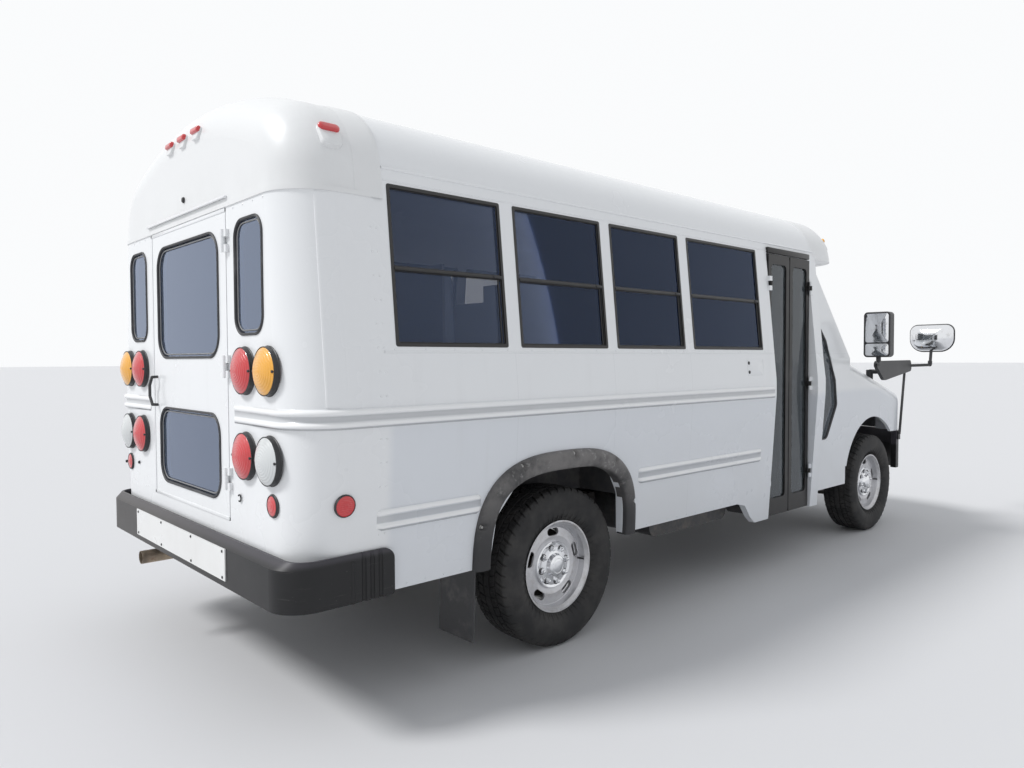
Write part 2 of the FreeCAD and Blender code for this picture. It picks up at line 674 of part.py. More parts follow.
def cab_shell():
    """Cab sides, sills, screen pillars, cowl and firewall between the bus body and the nose."""
    quarter = plate_xz(QUARTER, RIGHT, QUARTER_ROUNDS)
    right = cab_skin((ahead(-1023), PILLAR_LOW[0][0]), 0.0, CAB_T, -1)
    behind = plate_xz(front_points([(-1063, 425), (-501, 425), (-501, CAB_BELT_Z), (-873, CAB_TOP_Z),
                                    (-1063, CAB_TOP_Z)]), RIGHT)
    right = right.common(behind).cut(quarter)
    gap = GAP
    left = cab_skin((ahead(-1491), PILLAR_LOW[0][0]), 0.0, CAB_T, 1)
    left_line = front_points([(-1563, 425), (-501, 425), (-501, CAB_BELT_Z), (-873, CAB_TOP_Z),
                              (-1563, CAB_TOP_Z)])
    left = left.common(plate_xz(left_line, LEFT))
    opening = plate_xz(door_outline(-gap), LEFT, [60 + gap, 60 + gap, 0, 60 + gap, 60 + gap])
    left = left.cut(opening)
    upper = [(BELT_HALF - 2, BELT_LOW_Z), (BELT_HALF - 2, BELT_HIGH_Z), (CAB_TOP_HALF + 100, CAB_TOP_Z),
             (CAB_TOP_HALF - CAB_T, CAB_TOP_Z), (CAB_HALF - CAB_T, CAB_BELT_Z)]
    right_end = [(CAB_HALF - CAB_T, 430), (wall_half(STEP_SKIRT_Z), 430)] + upper
    filler = mirror(plate_yz(right_end, (RIGHT_FRONT_X, RIGHT_FRONT_X + 12)))
    left_end = [(CAB_HALF - CAB_T, SKIRT_Z), (wall_half(SKIRT_Z), SKIRT_Z)] + upper
    filler_left = plate_yz(left_end, (LEFT_FRONT_X, LEFT_FRONT_X + 12))
    posts = both(pillar(PILLAR_LOW, PILLAR_TOP, (CAB_BELT_Z, CAB_TOP_Z)))
    lower = both(box(PILLAR_LOW[0], PILLAR_LOW[1], (560, CAB_BELT_Z)))
    tunnel = box((ahead(-563), ahead(-463)), (-475, 475), (500, 664))
    inside = CAB_HALF - POST_T + 1
    wall = box((PILLAR_LOW[0][0], ahead(-479)), (-inside, inside), (560, CAB_BELT_Z)).cut(tunnel)
    side = HOOD_HALF + GAP - FIT
    cowl = fuse([box((ahead(-480), PILLAR_LOW[0][1]), (-inside, inside), (CAB_BELT_Z - 60, CAB_BELT_Z)),
                 box((ahead(-480), COWL_FRONT_X), (-side, side), (CAB_BELT_Z - 60, CAB_BELT_Z))])
    hinges = hood_hinges("cowl")
    for door_part, frame_parts in driver_hinges():
        hinges += frame_parts
    whole = fuse([wall, cowl, filler, filler_left, left, right] + posts + lower).cut(front_arch())
    return fuse([whole] + hinges)


def front_arch():
    """Round tool that cuts the front wheel arches."""
    return Part.makeCylinder(FRONT_ARCH_R, 2 * WIDE, V(WHEELBASE, -WIDE, FRONT_ARCH_Z), V(0, 1, 0))


def screen_plan(spare, z):
    """Prism behind the arc of the screen's foot, moved forwards."""
    side_x, side_y, middle_x = SCREEN_FOOT
    reach = 1000.0
    bulge = (middle_x - side_x) * (reach / side_y) ** 2
    edge_x = middle_x + spare - bulge
    arc = Part.Arc(V(edge_x, -reach, z[0]), V(middle_x + spare, 0, z[0]), V(edge_x, reach, z[0])).toShape()
    back_x = ahead(-663)
    back = Part.makePolygon([V(edge_x, reach, z[0]), V(back_x, reach, z[0]), V(back_x, -reach, z[0]),
                             V(edge_x, -reach, z[0])])
    return Part.Face(Part.Wire([arc] + back.Edges)).extrude(V(0, 0, z[1] - z[0]))


def arc_plate(foot, head, thickness):
    """Bent plate between two level arcs, each with its side x, side y, middle x and height."""
    wires = []
    for side_x, side_y, middle_x, z in (foot, head):
        outer = Part.Arc(V(side_x, -side_y, z), V(middle_x, 0, z), V(side_x, side_y, z)).toShape()
        inner = Part.Arc(V(side_x - thickness, side_y, z), V(middle_x - thickness, 0, z),
                         V(side_x - thickness, -side_y, z)).toShape()
        ends = [Part.LineSegment(V(side_x, side_y, z), V(side_x - thickness, side_y, z)).toShape(),
                Part.LineSegment(V(side_x - thickness, -side_y, z), V(side_x, -side_y, z)).toShape()]
        wires.append(Part.Wire([outer, ends[0], inner, ends[1]]))
    return Part.makeLoft(wires, True, True)


def windscreen():
    """Curved windscreen between cowl and front cap, and the fixed pane behind the entrance post."""
    screen = arc_plate((*SCREEN_FOOT, CAB_BELT_Z + FIT), (*SCREEN_HEAD, CAP_LIP_Z - FIT), SCREEN_T)
    pane = cab_skin((ahead(-1003), ahead(-563)), 14.0, 20.0, -1)
    return [screen, pane.common(plate_xz(QUARTER, RIGHT, QUARTER_ROUNDS))]


# Nose
def nose_section(x, shoulder_z, top_z, inset):
    """Closed outline across the nose at one place along X."""
    half = CAB_HALF - inset
    points = [(-half, 440), (-half, shoulder_z - inset), (-620, top_z - 10 - inset), (0, top_z - inset),
              (620, top_z - 10 - inset), (half, shoulder_z - inset), (half, 440)]
    return outline(points, [0, 110, 500, 3000, 500, 110, 0], lambda p: V(x, p.x, p.y))


def nose_plan(inset, z):
    """Prism of the nose seen from above, with its bowed front."""
    side_x, front_x = NOSE_SIDE_X - inset, NOSE_X - inset
    half, back_x = NOSE_PLAN_HALF, ahead(-663)
    arc = Part.Arc(V(side_x, -half, z[0]), V(front_x, 0, z[0]), V(side_x, half, z[0])).toShape()
    back = Part.makePolygon([V(side_x, half, z[0]), V(back_x, half, z[0]), V(back_x, -half, z[0]),
                             V(side_x, -half, z[0])])
    return Part.Face(Part.Wire([arc] + back.Edges)).extrude(V(0, 0, z[1] - z[0]))


def nose_form(inset):
    """Solid form of the nose: two sections joined, with the bowed front cut by its plan."""
    wires = [nose_section(COWL_X, COWL_Z - 10, COWL_Z + 30, inset),
             nose_section(NOSE_X + 20, NOSE_TOP_Z - 70, NOSE_TOP_Z + 20, inset)]
    return Part.makeLoft(wires, True, True).common(nose_plan(inset, (400, 1500)))


PANEL_TOP_Z = 1060.0


GRILLE = ((-440, 440), (815, 1030))
GRILLE_BARS_Z = (848, 888, 928, 968, 1008)
HEAD_LAMP = ((470, 745), (850, 1015))


def bowed_bar(y, z, outer, inner):
    """Bar that follows the bow of the nose between two insets."""
    return nose_plan(outer, z).cut(nose_plan(inner, z)).common(box((ahead(300), NOSE_X + 60), y, z))


def nose_pieces():
    """Fenders, hood, front panel and head lamps, all from the same form."""
    shell = nose_form(0.0).cut(nose_form(SKIN))
    lid = box((HOOD_REAR_X, NOSE_X + 20), (-HOOD_HALF, HOOD_HALF), (PANEL_TOP_Z + GAP, 1500))
    hood = fuse([shell.common(lid)] + hood_hinges("hood"))
    keep = box((COWL_X - 5, NOSE_X + 20), (-HOOD_HALF - GAP, HOOD_HALF + GAP), (300, 1500))
    low = box((ahead(327), NOSE_X + 110), (-WIDE, WIDE), (300, 766))
    fenders = shell.cut([keep, front_arch(), low, screen_plan(2.0, (1300, 1500))])
    half = HOOD_HALF + GAP - FIT
    panel = bowed_bar((-half, half), (780, PANEL_TOP_Z), 0.0, 45.0)
    x = (ahead(300), NOSE_X + 60)
    lamp_holes = both(plate_yz(rectangle(*HEAD_LAMP), x, 20))
    grille_y, grille_z = [(low_end - 1, high_end + 1) for low_end, high_end in GRILLE]
    bars = [bowed_bar(grille_y, (z - 7, z + 7), 8.0, 30.0) for z in GRILLE_BARS_Z]
    bars.append(bowed_bar((-20, 20), grille_z, 4.0, 34.0))
    panel = fuse([panel.cut([box(x, *GRILLE)] + lamp_holes)] + bars)
    lens = bowed_bar((-half, half), (840, 1030), -4.0, 36.0)
    lamps = [lens.common(solid) for solid in both(plate_yz(rectangle(*HEAD_LAMP, FIT), x, 20))]
    return fenders.Solids, hood, panel, lamps


def front_bumper():
    """Front bumper bowed in plan, wrapping the fenders' lower corners, with its brackets."""
    half = CAB_HALF + 7
    corners = [(452, -half), (557, -half), (777, -690), (777, 690), (557, half), (452, half)]
    inner_half = half - 44
    hollow = [(437, -inner_half), (522, -inner_half), (722, -660), (722, 660), (522, inner_half),
              (437, inner_half)]
    ring = plate_xy(front_points(corners), (455, 762), [0, 160, 300, 300, 160, 0]).cut(
        plate_xy(front_points(hollow), (400, 800), [0, 130, 260, 260, 130, 0]))
    arms = both(box((ahead(457), ahead(727)), (408 + FIT, 440), (488 + FIT, 632 - FIT)))
    hole_y = PLATE_HOLE_SPACING / 2
    holes = both(rod((ahead(637), hole_y, 600), (ahead(837), hole_y, 600), 4))
    return fuse([ring] + arms).cut(holes)


def rear_bumper():
    """Rear bumper with a bevelled top, wrapped ends with a ridge and flutes, and its brackets."""
    depth, height = BUMPER_LIP
    x, half, z = BUMPER_REAR_X, BUMPER_HALF, BUMPER_Z

    def plan(inset_x, inset_y, radius, at_z):
        side = half - inset_y
        points = [(x + inset_x, -side), (BUMPER_END_X, -side), (BUMPER_END_X, side), (x + inset_x, side)]
        return outline(points, [radius, 0, 0, radius], lambda p: V(p.x, p.y, at_z))

    ledge = z[1] - height
    face = Part.Face(plan(0, 0, BUMPER_ROUND, z[0])).extrude(V(0, 0, ledge - z[0]))
    lip = Part.makeLoft([plan(0, 0, BUMPER_ROUND, ledge), plan(depth, 4, BUMPER_ROUND - depth, z[1])],
                        True, True)
    hollow = Part.Face(plan(*BUMPER_T, BUMPER_ROUND - BUMPER_T[0], 400)).extrude(V(0, 0, 400))
    ridges = both(rod((BUMPER_END_X - 180, half - 6, z[0]), (BUMPER_END_X - 180, half - 6, ledge), 10))
    flutes = []
    for i in range(3):
        flute_x = BUMPER_END_X - 134 + 36 * i
        flutes += both(rod((flute_x, half + 3, 400), (flute_x, half + 3, 800), 10))
    side_view = plate_xz(rectangle((x - 20, BUMPER_END_X), z), (-WIDE, WIDE), [0, 14, 45, 0])
    ring = fuse([face, lip] + ridges).common(side_view).cut([hollow] + flutes)
    arms = both(box((-1395, -1150), (408 + FIT, 430), (488 + FIT, 632 - FIT)))
    return fuse([ring] + arms)


def sign_plate():
    """Plain white plate on the rear bumper."""
    return box((BUMPER_REAR_X - 5, BUMPER_REAR_X), (-545, 565), (BUMPER_Z[0] + 26, BUMPER_Z[1] - 28))


# Running gear
def chassis_frame():
    """Two channel rails with cross members, and the sills that carry the floor."""
    pieces = []
    channel = [(400, 480), (465, 480), (465, 488), (408, 488), (408, 632), (465, 632), (465, 640),
               (400, 640)]
    rail = plate_yz(channel, (-1330, ahead(537)))
    pieces += both(rail)
    for x, low_z in ((-1300, 500), (-760, 500), (560, 500), (1400, 500), (ahead(-1263), 604)):
        pieces.append(box((x - 30, x + 30), (-402, 402), (low_z, 636)))
    beside_steps = (ENTRANCE[0] - 108, ENTRANCE[1] + 168)
    for x in (-1200, -640, 620, ENTRANCE[0] - 628) + beside_steps:
        right_end = -535 if x in beside_steps else -930
        pieces.append(box((x - 25, x + 25), (right_end, 930), (640, FLOOR_Z - FLOOR_T)))
    holes = []
    for x in (-1000 - HITCH_SPACING / 2, -1000 + HITCH_SPACING / 2):
        for z in (560 - HITCH_SPACING / 2, 560 + HITCH_SPACING / 2):
            holes += both(rod((x, 390, z), (x, 420, z), HITCH_HOLE_R))
    return fuse(pieces).cut(holes)


def rear_axle():
    """Rear axle housing, differential, spindles and the leaf springs that carry the frame."""
    tube = rod((0, -735, WHEEL_R), (0, 735, WHEEL_R), 45)
    case = Part.makeSphere(150, V(0, 0, WHEEL_R)).common(box((-130, 160), (-150, 150), (200, 520)))
    nose = rod((100, 0, WHEEL_R), (260, 0, WHEEL_R), 60)
    spindles = both(rod((0, 700, WHEEL_R), (0, WHEEL_Y + 20, WHEEL_R), SPINDLE_R))
    plates = both(rod((0, 745, WHEEL_R), (0, 760, WHEEL_R), 140))
    springs = []
    for i in range(4):
        half = 700 - 130 * i
        z = 470 - 12 * i
        ends = 50 * (1 - (i / 4) ** 2)
        top = Part.Arc(V(-half, 488, z + ends), V(0, 488, z), V(half, 488, z + ends)).toShape()
        low_end = z + ends - 12
        low = Part.Arc(V(half, 488, low_end), V(0, 488, z - 12), V(-half, 488, low_end)).toShape()
        sides = [Part.LineSegment(V(half, 488, z + ends), V(half, 488, z + ends - 12)).toShape(),
                 Part.LineSegment(V(-half, 488, z + ends - 12), V(-half, 488, z + ends)).toShape()]
        springs.append(Part.Face(Part.Wire([top, sides[0], low, sides[1]])).extrude(V(0, 64, 0)))
    spring = fuse(springs + [box((-60, 60), (480, 560), (405, 425))])
    hangers = [box((x - 25, x + 25), (408 + FIT, 548), (500, 600)) for x in (-700, 700)]
    spring = fuse([spring] + hangers)
    return fuse([tube, case, nose] + spindles + plates + both(spring))


def front_suspension():
    """Front cross member with the control arms that reach the knuckles."""
    beam = box((WHEELBASE - 90, WHEELBASE + 90), (-500, 500), (330, 480 - FIT))
    arms = []
    for z, root_y in ((262, 380), (502, 467)):
        end_y = KING_Y + 26
        arm = plate_xy([(WHEELBASE - 120, root_y), (WHEELBASE - 32, end_y), (WHEELBASE + 32, end_y),
                        (WHEELBASE + 120, root_y)], (z - 12, z + 12), [0, 28, 28, 0])
        arms += both(arm)
    towers = both(box((WHEELBASE - 90, WHEELBASE + 90), (380, 440), (250, 332)))
    towers += both(box((WHEELBASE - 90, WHEELBASE + 90), (466, 500), (470, 530)))
    pins = both(rod((WHEELBASE, KING_Y, 200), (WHEELBASE, KING_Y, 600), KING_PIN_R + FIT))
    return fuse([beam] + towers + arms).cut(pins)


def knuckle(side):
    """Steering knuckle with its king pin ends and spindle."""
    x = WHEELBASE
    post = box((x - 28, x + 28), (side * KING_Y - 22, side * KING_Y + 22), (280, 484))
    spindle = rod((x, side * KING_Y, WHEEL_R), (x, side * (WHEEL_Y + 20), WHEEL_R), SPINDLE_R)
    plate = rod((x, side * (KING_Y + 15), WHEEL_R), (x, side * (KING_Y + 24), WHEEL_R), 100)
    arm = box((x - 150, x), (side * KING_Y - 15, side * KING_Y + 15), (330, 350))
    pin = rod((x, side * KING_Y, 246), (x, side * KING_Y, 518), KING_PIN_R)
    return fuse([post, spindle, plate, arm, pin])


def facet_ring(profile, sides, centre):
    """Closed ring of flat facets about Y; a profile point is (reach of the flats, place along Y)."""
    turn = 2 * math.pi / sides
    rings = []
    for reach, along in profile:
        corner_r = reach / math.cos(turn / 2)
        angles = [(i + 0.5) * turn for i in range(sides)]
        rings.append([centre + V(corner_r * math.sin(a), along, -corner_r * math.cos(a)) for a in angles])
    faces = []
    for j, ring in enumerate(rings):
        before = rings[j - 1]
        for i in range(sides):
            after = (i + 1) % sides
            corners = [before[i], before[after], ring[after], ring[i]]
            faces.append(Part.Face(Part.makePolygon(corners + corners[:1])))
    return Part.makeSolid(Part.makeShell(faces))


def tyre(x, side):
    """Plain tyre of flat facets, with one flat on the ground."""
    half = TYRE_W / 2
    flank = [(RIM_R - 14, RIM_W / 2 - 17), (RIM_R + 25, half - 14), ((RIM_R + WHEEL_R) / 2 + 9, half),
             (WHEEL_R - 27, half - 6), (WHEEL_R - 6, half - 24), (WHEEL_R, half - 60)]
    profile = [(reach, -along) for reach, along in flank] + flank[::-1]
    return facet_ring(profile, TYRE_SIDES, V(x, side * WHEEL_Y, WHEEL_R))


def rim(x, side):
    """Pressed steel wheel with five oval slots, hub bore and centre cap; t runs outwards."""
    def ring(points):
        return turned([(r, side * t) for r, t in points], x, side * WHEEL_Y, WHEEL_R)

    half = RIM_W / 2
    barrel = ring([(RIM_R, half), (RIM_R - 8, half), (RIM_R - 20, half - 18), (RIM_R - 26, half - 50),
                   (RIM_R - 46, half - 62), (RIM_R - 46, -half + 50), (RIM_R - 26, -half + 18),
                   (RIM_R - 8, -half), (RIM_R, -half), (RIM_R - 15, -half + 15), (RIM_R - 20, -half + 50),
                   (RIM_R - 40, -half + 56), (RIM_R - 40, half - 68), (RIM_R - 20, half - 56),
                   (RIM_R - 15, half - 18)])
    bore = SPINDLE_R + FIT
    disc = ring([(RIM_R - 28, 44), (180, 52), (140, 56), (114, 50), (100, 36), (bore, 36), (bore, 26),
                 (104, 26), (120, 40), (142, 46), (178, 42), (RIM_R - 30, 34)])
    hub = ring([(62, 30), (bore, 30), (bore, -60), (62, -60)])
    cap = ring([(0.0, 90), (30, 88), (45, 82), (50, 62), (96, 58), (108, 56), (112, 48), (100, 36),
                (bore, 36), (bore, 56), (0.0, 56)])
    slots = []
    for i in range(5):
        slot = Part.Face(outline(rectangle((-38, 38), (-18, 18)), 17.9, lambda p: V(p.x, -200, p.y)))
        solid = slot.extrude(V(0, 400, 0))
        solid.translate(V(0, 0, 159))
        solid.rotate(V(0, 0, 0), V(0, 1, 0), 72 * i)
        solid.translate(V(x, side * WHEEL_Y, WHEEL_R))
        slots.append(solid)
    return fuse([barrel, disc.cut(slots), hub, cap])


# Engine, tank, exhaust
def engine_block():
    """Engine as one plain block."""
    return box((ahead(-443), ahead(297)), (-270, 270), (482, 1010))


def drive_line():
    """Gearbox and propeller shaft to the rear axle."""
    box_body = box((ahead(-1003), ahead(-443)), (-150, 150), (420, 640 - FIT))
    taper = rod((ahead(-1323), 0, 500), (ahead(-1003), 0, 510), 88)
    shaft = rod((262.5, 0, WHEEL_R + 4), (ahead(-1323), 0, 500), 38)
    return fuse([box_body, taper, shaft])


def fuel_tank():
    """Fuel tank outside the right frame rail, with its straps, between the rear wheel and the entrance."""
    start, room = 440, ENTRANCE[0] - 590
    x = (start + 0.266 * room, start + 0.876 * room)
    tank = plate_xz(rectangle(x, (380, 620)), (-900, -490), 60)
    strap_y, strap_z = (-903, -465 - FIT), (600, 640 - FIT)
    straps = [box((at - 20, at + 20), strap_y, strap_z) for at in (x[0] + 120, x[1] - 120)]
    return fuse([tank] + straps)


def exhaust():
    """Silencer and pipe, passing over the axle to the tail end at the rear left."""
    y = 640
    muffler = rod((900, 600, 470), (1500, 600, 470), 95)
    points = [(ahead(-453), 310, 440), (ahead(-663), 330, 440), (ahead(-963), 600, 440), (1450, 600, 440)]
    tail = [(950, 600, 470), (420, y, 560), (-420, y, 560), (-800, 580, 480), (-1200, 505, 405),
            (-1448, 505, 405)]
    pieces = [muffler] + bent_rod(points, PIPE_R) + bent_rod(tail, PIPE_R)
    pieces.append(box((1190, 1210), (445, 540), (466, 480 - FIT)))
    pieces.append(box((-1106, -1094), (440, 530), (420, 480 - FIT)))
    return fuse(pieces).cut(rod((-1460, 505, 405), (-1260, 505, 405), PIPE_R - 3))


# Cabin
SEAT_FIRST_X = -743.0
SEAT_PITCH = 753.0
SEAT_LENGTH = 540.0
BENCH_Y = (330.0, BELT_HALF - 115)
CUSHION_Z = (1040.0, 1150.0)
BACK_TOP_Z = 1780.0


def rows(limit):
    """Places of the bench rows that end before a limit."""
    found = []
    x = SEAT_FIRST_X
    while x + SEAT_LENGTH <= limit:
        found.append(x)
        x += SEAT_PITCH
    return found


def bench(x, side):
    """Cushion and backrest of one bench; x is its rear end."""
    y = BENCH_Y if side > 0 else (-BENCH_Y[1], -BENCH_Y[0])
    cushion = plate_xz(rectangle((x + 110, x + 520), CUSHION_Z), y, 40)
    low = CUSHION_Z[1] + FIT
    back = [(x + 75, low), (x + 190, low), (x + 140, BACK_TOP_Z), (x + 70, BACK_TOP_Z)]
    return [cushion, plate_xz(back, y, [4, 4, 30, 30])]


def bench_frame(x, side):
    """Legs, tray and back panel of one bench."""
    y = BENCH_Y if side > 0 else (-BENCH_Y[1], -BENCH_Y[0])
    inner = BENCH_Y[0] + 20 if side > 0 else -BENCH_Y[0] - 50
    tray_z = CUSHION_Z[0] - 25
    legs = [box((a, a + 35), (inner, inner + 30), (FLOOR_Z, tray_z)) for a in (x + 140, x + 440)]
    tray = box((x + 60, x + 500), y, (tray_z, CUSHION_Z[0] - FIT))
    low, high = CUSHION_Z[1] + FIT, BACK_TOP_Z - 10
    back = plate_xz([(x + 74.7, tray_z), (x + 74.7, low), (x + 69.7, high), (x + 56, high), (x + 60, low),
                     (x + 60, tray_z)], y)
    return fuse([tray, back] + legs)


def seat_frames():
    """Frames of all passenger benches and the pedestal of the driver's seat."""
    frames = [bench_frame(x, 1) for x in rows(LEFT_FRONT_X)]
    frames += [bench_frame(x, -1) for x in rows(ENTRANCE[0])]
    pedestal = box((ahead(-1323), ahead(-1003)), (420, 700), (FLOOR_Z, 1000))
    return frames + [pedestal]


def seat_cushions():
    """Cushions and backrests of all seats."""
    pads = []
    for x in rows(LEFT_FRONT_X):
        pads += bench(x, 1)
    for x in rows(ENTRANCE[0]):
        pads += bench(x, -1)
    pads.append(plate_xz(rectangle((ahead(-1383), ahead(-923)), (1000 + FIT, 1110)), (320, 800), 40))
    back = front_points([(-1363, 1110 + FIT), (-1243, 1110 + FIT), (-1313, 1700), (-1413, 1700)])
    pads.append(plate_xz(back, (320, 800), [6, 6, 40, 40]))
    return pads


def dashboard():
    """Instrument panel, engine cover, steering column and steering wheel."""
    half = CAB_HALF - 55
    panel = plate_xz(front_points([(-513, 1000), (-508, 1340), (-663, 1330), (-713, 1220), (-663, 1000)]),
                     (-half, half), 30)
    cover = plate_xz(front_points([(-903, FLOOR_Z), (-508, FLOOR_Z), (-508, 1010), (-823, 1010)]),
                     (-260, 260), [0, 0, 0, 60])
    column = rod((ahead(-643), 560, 1208), (ahead(-826), 560, 1311), 28)
    wheel = Part.makeTorus(190, 15, V(ahead(-823), 560, 1310), V(-0.87, 0, 0.49))
    spokes = []
    for turn in (0, 120, 240):
        spoke = box((-18, 18), (10, 188), (-6, 6))
        spoke.rotate(V(0, 0, 0), V(0, 0, 1), turn + 90)
        spoke.rotate(V(0, 0, 0), V(0, 1, 0), -60.5)
        spoke.translate(V(ahead(-823), 560, 1310))
        spokes.append(spoke)
    return fuse([panel, cover, column, wheel] + spokes)


# Lamps and mirrors
LAMPS = [  # y, z, radius, depth: round lamps on both sides of the rear wall
    (625.0, 1335.0, 89.0, 46.0), (830.0, 1335.0, 89.0, 46.0), (628.0, 1007.0, 89.0, 46.0),
    (838.0, 1007.0, 89.0, 46.0), (852.0, 844.0, 39.0, 12.0)]


def dome(centre, axis, radius, depth):
    """Round lens: a short cylinder with a domed face; axis points outwards."""
    rim_depth = depth * 0.4
    rise = depth - rim_depth
    ball = (radius * radius + rise * rise) / (2 * rise)
    half = math.asin(radius / ball) / 2
    middle = V(ball * math.sin(half), 0, depth - ball + ball * math.cos(half))
    arc = Part.Arc(V(radius, 0, rim_depth), middle, V(0, 0, depth)).toShape()
    path = Part.makePolygon([V(0, 0, depth), V(0, 0, 0), V(radius, 0, 0), V(radius, 0, rim_depth)])
    lens = Part.Face(Part.Wire([arc] + path.Edges)).revolve(V(0, 0, 0), V(0, 0, 1), 360)
    lens.Placement = FreeCAD.Placement(V(*centre), FreeCAD.Rotation(V(0, 0, 1), V(*axis)))
    return lens


def lamps():
    """Rear lamps, reflectors and the marker lamps on the caps."""
    found = []
    for y, z, radius, depth in LAMPS:
        found += both(dome((REAR_X, y, z), (-1, 0, 0), radius, depth))
    side_y = wall_half(848)
    lean = V(0, math.cos(SKIRT_LEAN), -math.sin(SKIRT_LEAN))
    found += both(dome((-1205, side_y, 848), (lean.x, lean.y, lean.z), 39, 12))
    for y in (-160, 0, 160):
        solid = box((REAR_X - 16, REAR_X + 100), (y - 45, y + 45), (CROWN_Z - 165, CROWN_Z - 125))
        found.append(solid.cut(form(0.0)))
    for side in (-1, 1):
        markers = [((-1250, -1120), (860, 930), (EAVE_Z + 96, EAVE_Z + 176)),
                   ((ahead(-733), ahead(-663)), (700, 800), (EAVE_Z + 206, EAVE_Z + 286))]
        for x, y, z in markers:
            y_limits = y if side > 0 else (-y[1], -y[0])
            found.append(box(x, y_limits, z).cut(form(0.0)).common(form(-22.0)))
    return found


CROSS_RINGS = [(-0.5, 0.3), (-0.42, 0.6), (-0.24, 0.87), (0.0, 1.0), (0.24, 0.87), (0.42, 0.58), (0.5, 0.25)]


def mirrors():
    """Fender mounted mirrors on both sides with their arms."""
    cx, cy, cz = CROSS_MIRROR
    rims = []
    for share, size in CROSS_RINGS:
        half_w, half_h, along = CROSS_W / 2 * size, CROSS_H / 2 * size, cx + CROSS_D * share
        rims.append(outline(rectangle((-half_w, half_w), (-half_h, half_h)),
                            [105 * size, 105 * size, 60 * size, 60 * size],
                            lambda p: V(along, cy + p.x, cz + p.y)))
    cross = Part.makeLoft(rims, True, True)
    vx, vy, vz = VIEW_MIRROR
    head = plate_yz(rectangle((vy - VIEW_W / 2, vy + VIEW_W / 2), (vz - VIEW_H / 2, vz + VIEW_H / 2)),
                    (vx - VIEW_D / 2, vx + VIEW_D / 2), 28)
    side = CAB_HALF + 5
    plate = plate_xz(front_points([(-73, 1348), (687, 1352), (707, 1262), (137, 1190)]), (side, side + 26),
                     [30, 30, 30, 60])
    middle = side + 13
    foot = CAB_HALF - 80
    arms = [rod((cx, cy, cz), (cx - 40, cy, 1310), 12),
            rod((cx - 40, cy, 1310), (ahead(667), middle, 1305), 12),
            rod((vx, vy, vz), (vx, vy, 1350), 12),
            rod((vx, vy, 1350), (ahead(47), middle, 1322), 12),
            rod((ahead(587), side + 14, 1290), (ahead(487), side + 14, 735), 10),
            box((ahead(467), ahead(507)), (side + 2 + FIT, side + 14), (690, 760)),
            rod((ahead(117), side + 10, 1262), (ahead(117), foot, 1262), 18),
            rod((ahead(117), foot, 1180), (ahead(117), foot, 1276), 26).cut(nose_form(-FIT))]
    joints = [Part.makeSphere(14, V(*p)) for p in ((cx - 40, cy, 1310), (vx, vy, 1350))]
    return both(fuse([plate, cross, head] + arms + joints))


def export(name, shapes):
    """Write one node, shifted so that the origin lies under the middle of the bus."""
    shapes = shapes if isinstance(shapes, list) else [shapes]
    solids = []
    for shape in shapes:
        solids += shape.Solids
    whole = solids[0] if len(solids) == 1 else Part.makeCompound(solids)
    whole = whole.copy()
    whole.translate(V(-MIDDLE_X, 0, 0))
    bad = "" if whole.isValid() else " NOT VALID"
    whole.exportStep("parts/" + name + ".step")
    print(name, len(solids), round(whole.Volume / 1e6, 2), bad)


def main():
    os.makedirs("parts", exist_ok=True)
    sides, hood, panel, head_lamps = nose_pieces()
    leaf_mid = (ENTRANCE[0] + ENTRANCE[1]) / 2
    rear_leaf, rear_pane = leaf((ENTRANCE[0] + GAP, leaf_mid - 6), 0)
    front_leaf, front_pane = leaf((leaf_mid + 6, ENTRANCE[1] - GAP), 1)
    back_door, back_panes = rear_door()
    cab_door, cab_pane = driver_door()
    nodes = {
        "chassis_frame": chassis_frame(), "engine_block": engine_block(), "drive_line": drive_line(),
        "fuel_tank": fuel_tank(), "exhaust": exhaust(), "rear_axle": rear_axle(),
        "front_suspension": front_suspension(), "floor": floor(), "side_wall_left": side_wall_left(),
        "side_wall_right": side_wall_right(), "roof": roof(), "rear_wall": rear_wall(),
        "rear_cap": rear_cap(), "front_cap": front_cap(), "window_frames": window_frames(),
        "window_glass": window_glass(), "cab_shell": cab_shell(), "front_fenders": sides,
        "front_panel": panel, "windscreen": windscreen(), "front_bumper": front_bumper(),
        "rear_bumper": rear_bumper(), "sign_plate": sign_plate(), "mirrors": mirrors(),
        "seat_cushions": seat_cushions(), "seat_frames": seat_frames(), "dashboard": dashboard(),
        "lamps": lamps() + head_lamps, "wheel_trim": wheel_trim(), "rub_rails": rub_rails(), "hood": hood,
        "entrance_leaf_rear": rear_leaf, "entrance_glass_rear": rear_pane,
        "entrance_leaf_front": front_leaf, "entrance_glass_front": front_pane, "rear_door": back_door,
        "rear_door_glass": back_panes, "driver_door": cab_door, "driver_door_glass": cab_pane,
    }
    for name, side in (("left", 1), ("right", -1)):
        nodes["knuckle_" + name] = knuckle(side)
        nodes["tyre_front_" + name] = tyre(WHEELBASE, side)
        nodes["rim_front_" + name] = rim(WHEELBASE, side)
        nodes["tyre_rear_" + name] = tyre(0.0, side)
        nodes["rim_rear_" + name] = rim(0.0, side)
    for name, shapes in nodes.items():
        export(name, shapes)
    print("middle", MIDDLE_X, "nodes", len(nodes))


main()
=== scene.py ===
import json
import math

import bmesh
import bpy
import numpy as np
from bpy.props import FloatProperty, FloatVectorProperty, IntProperty, PointerProperty
from mathutils import Matrix, Vector
from mathutils.bvhtree import BVHTree


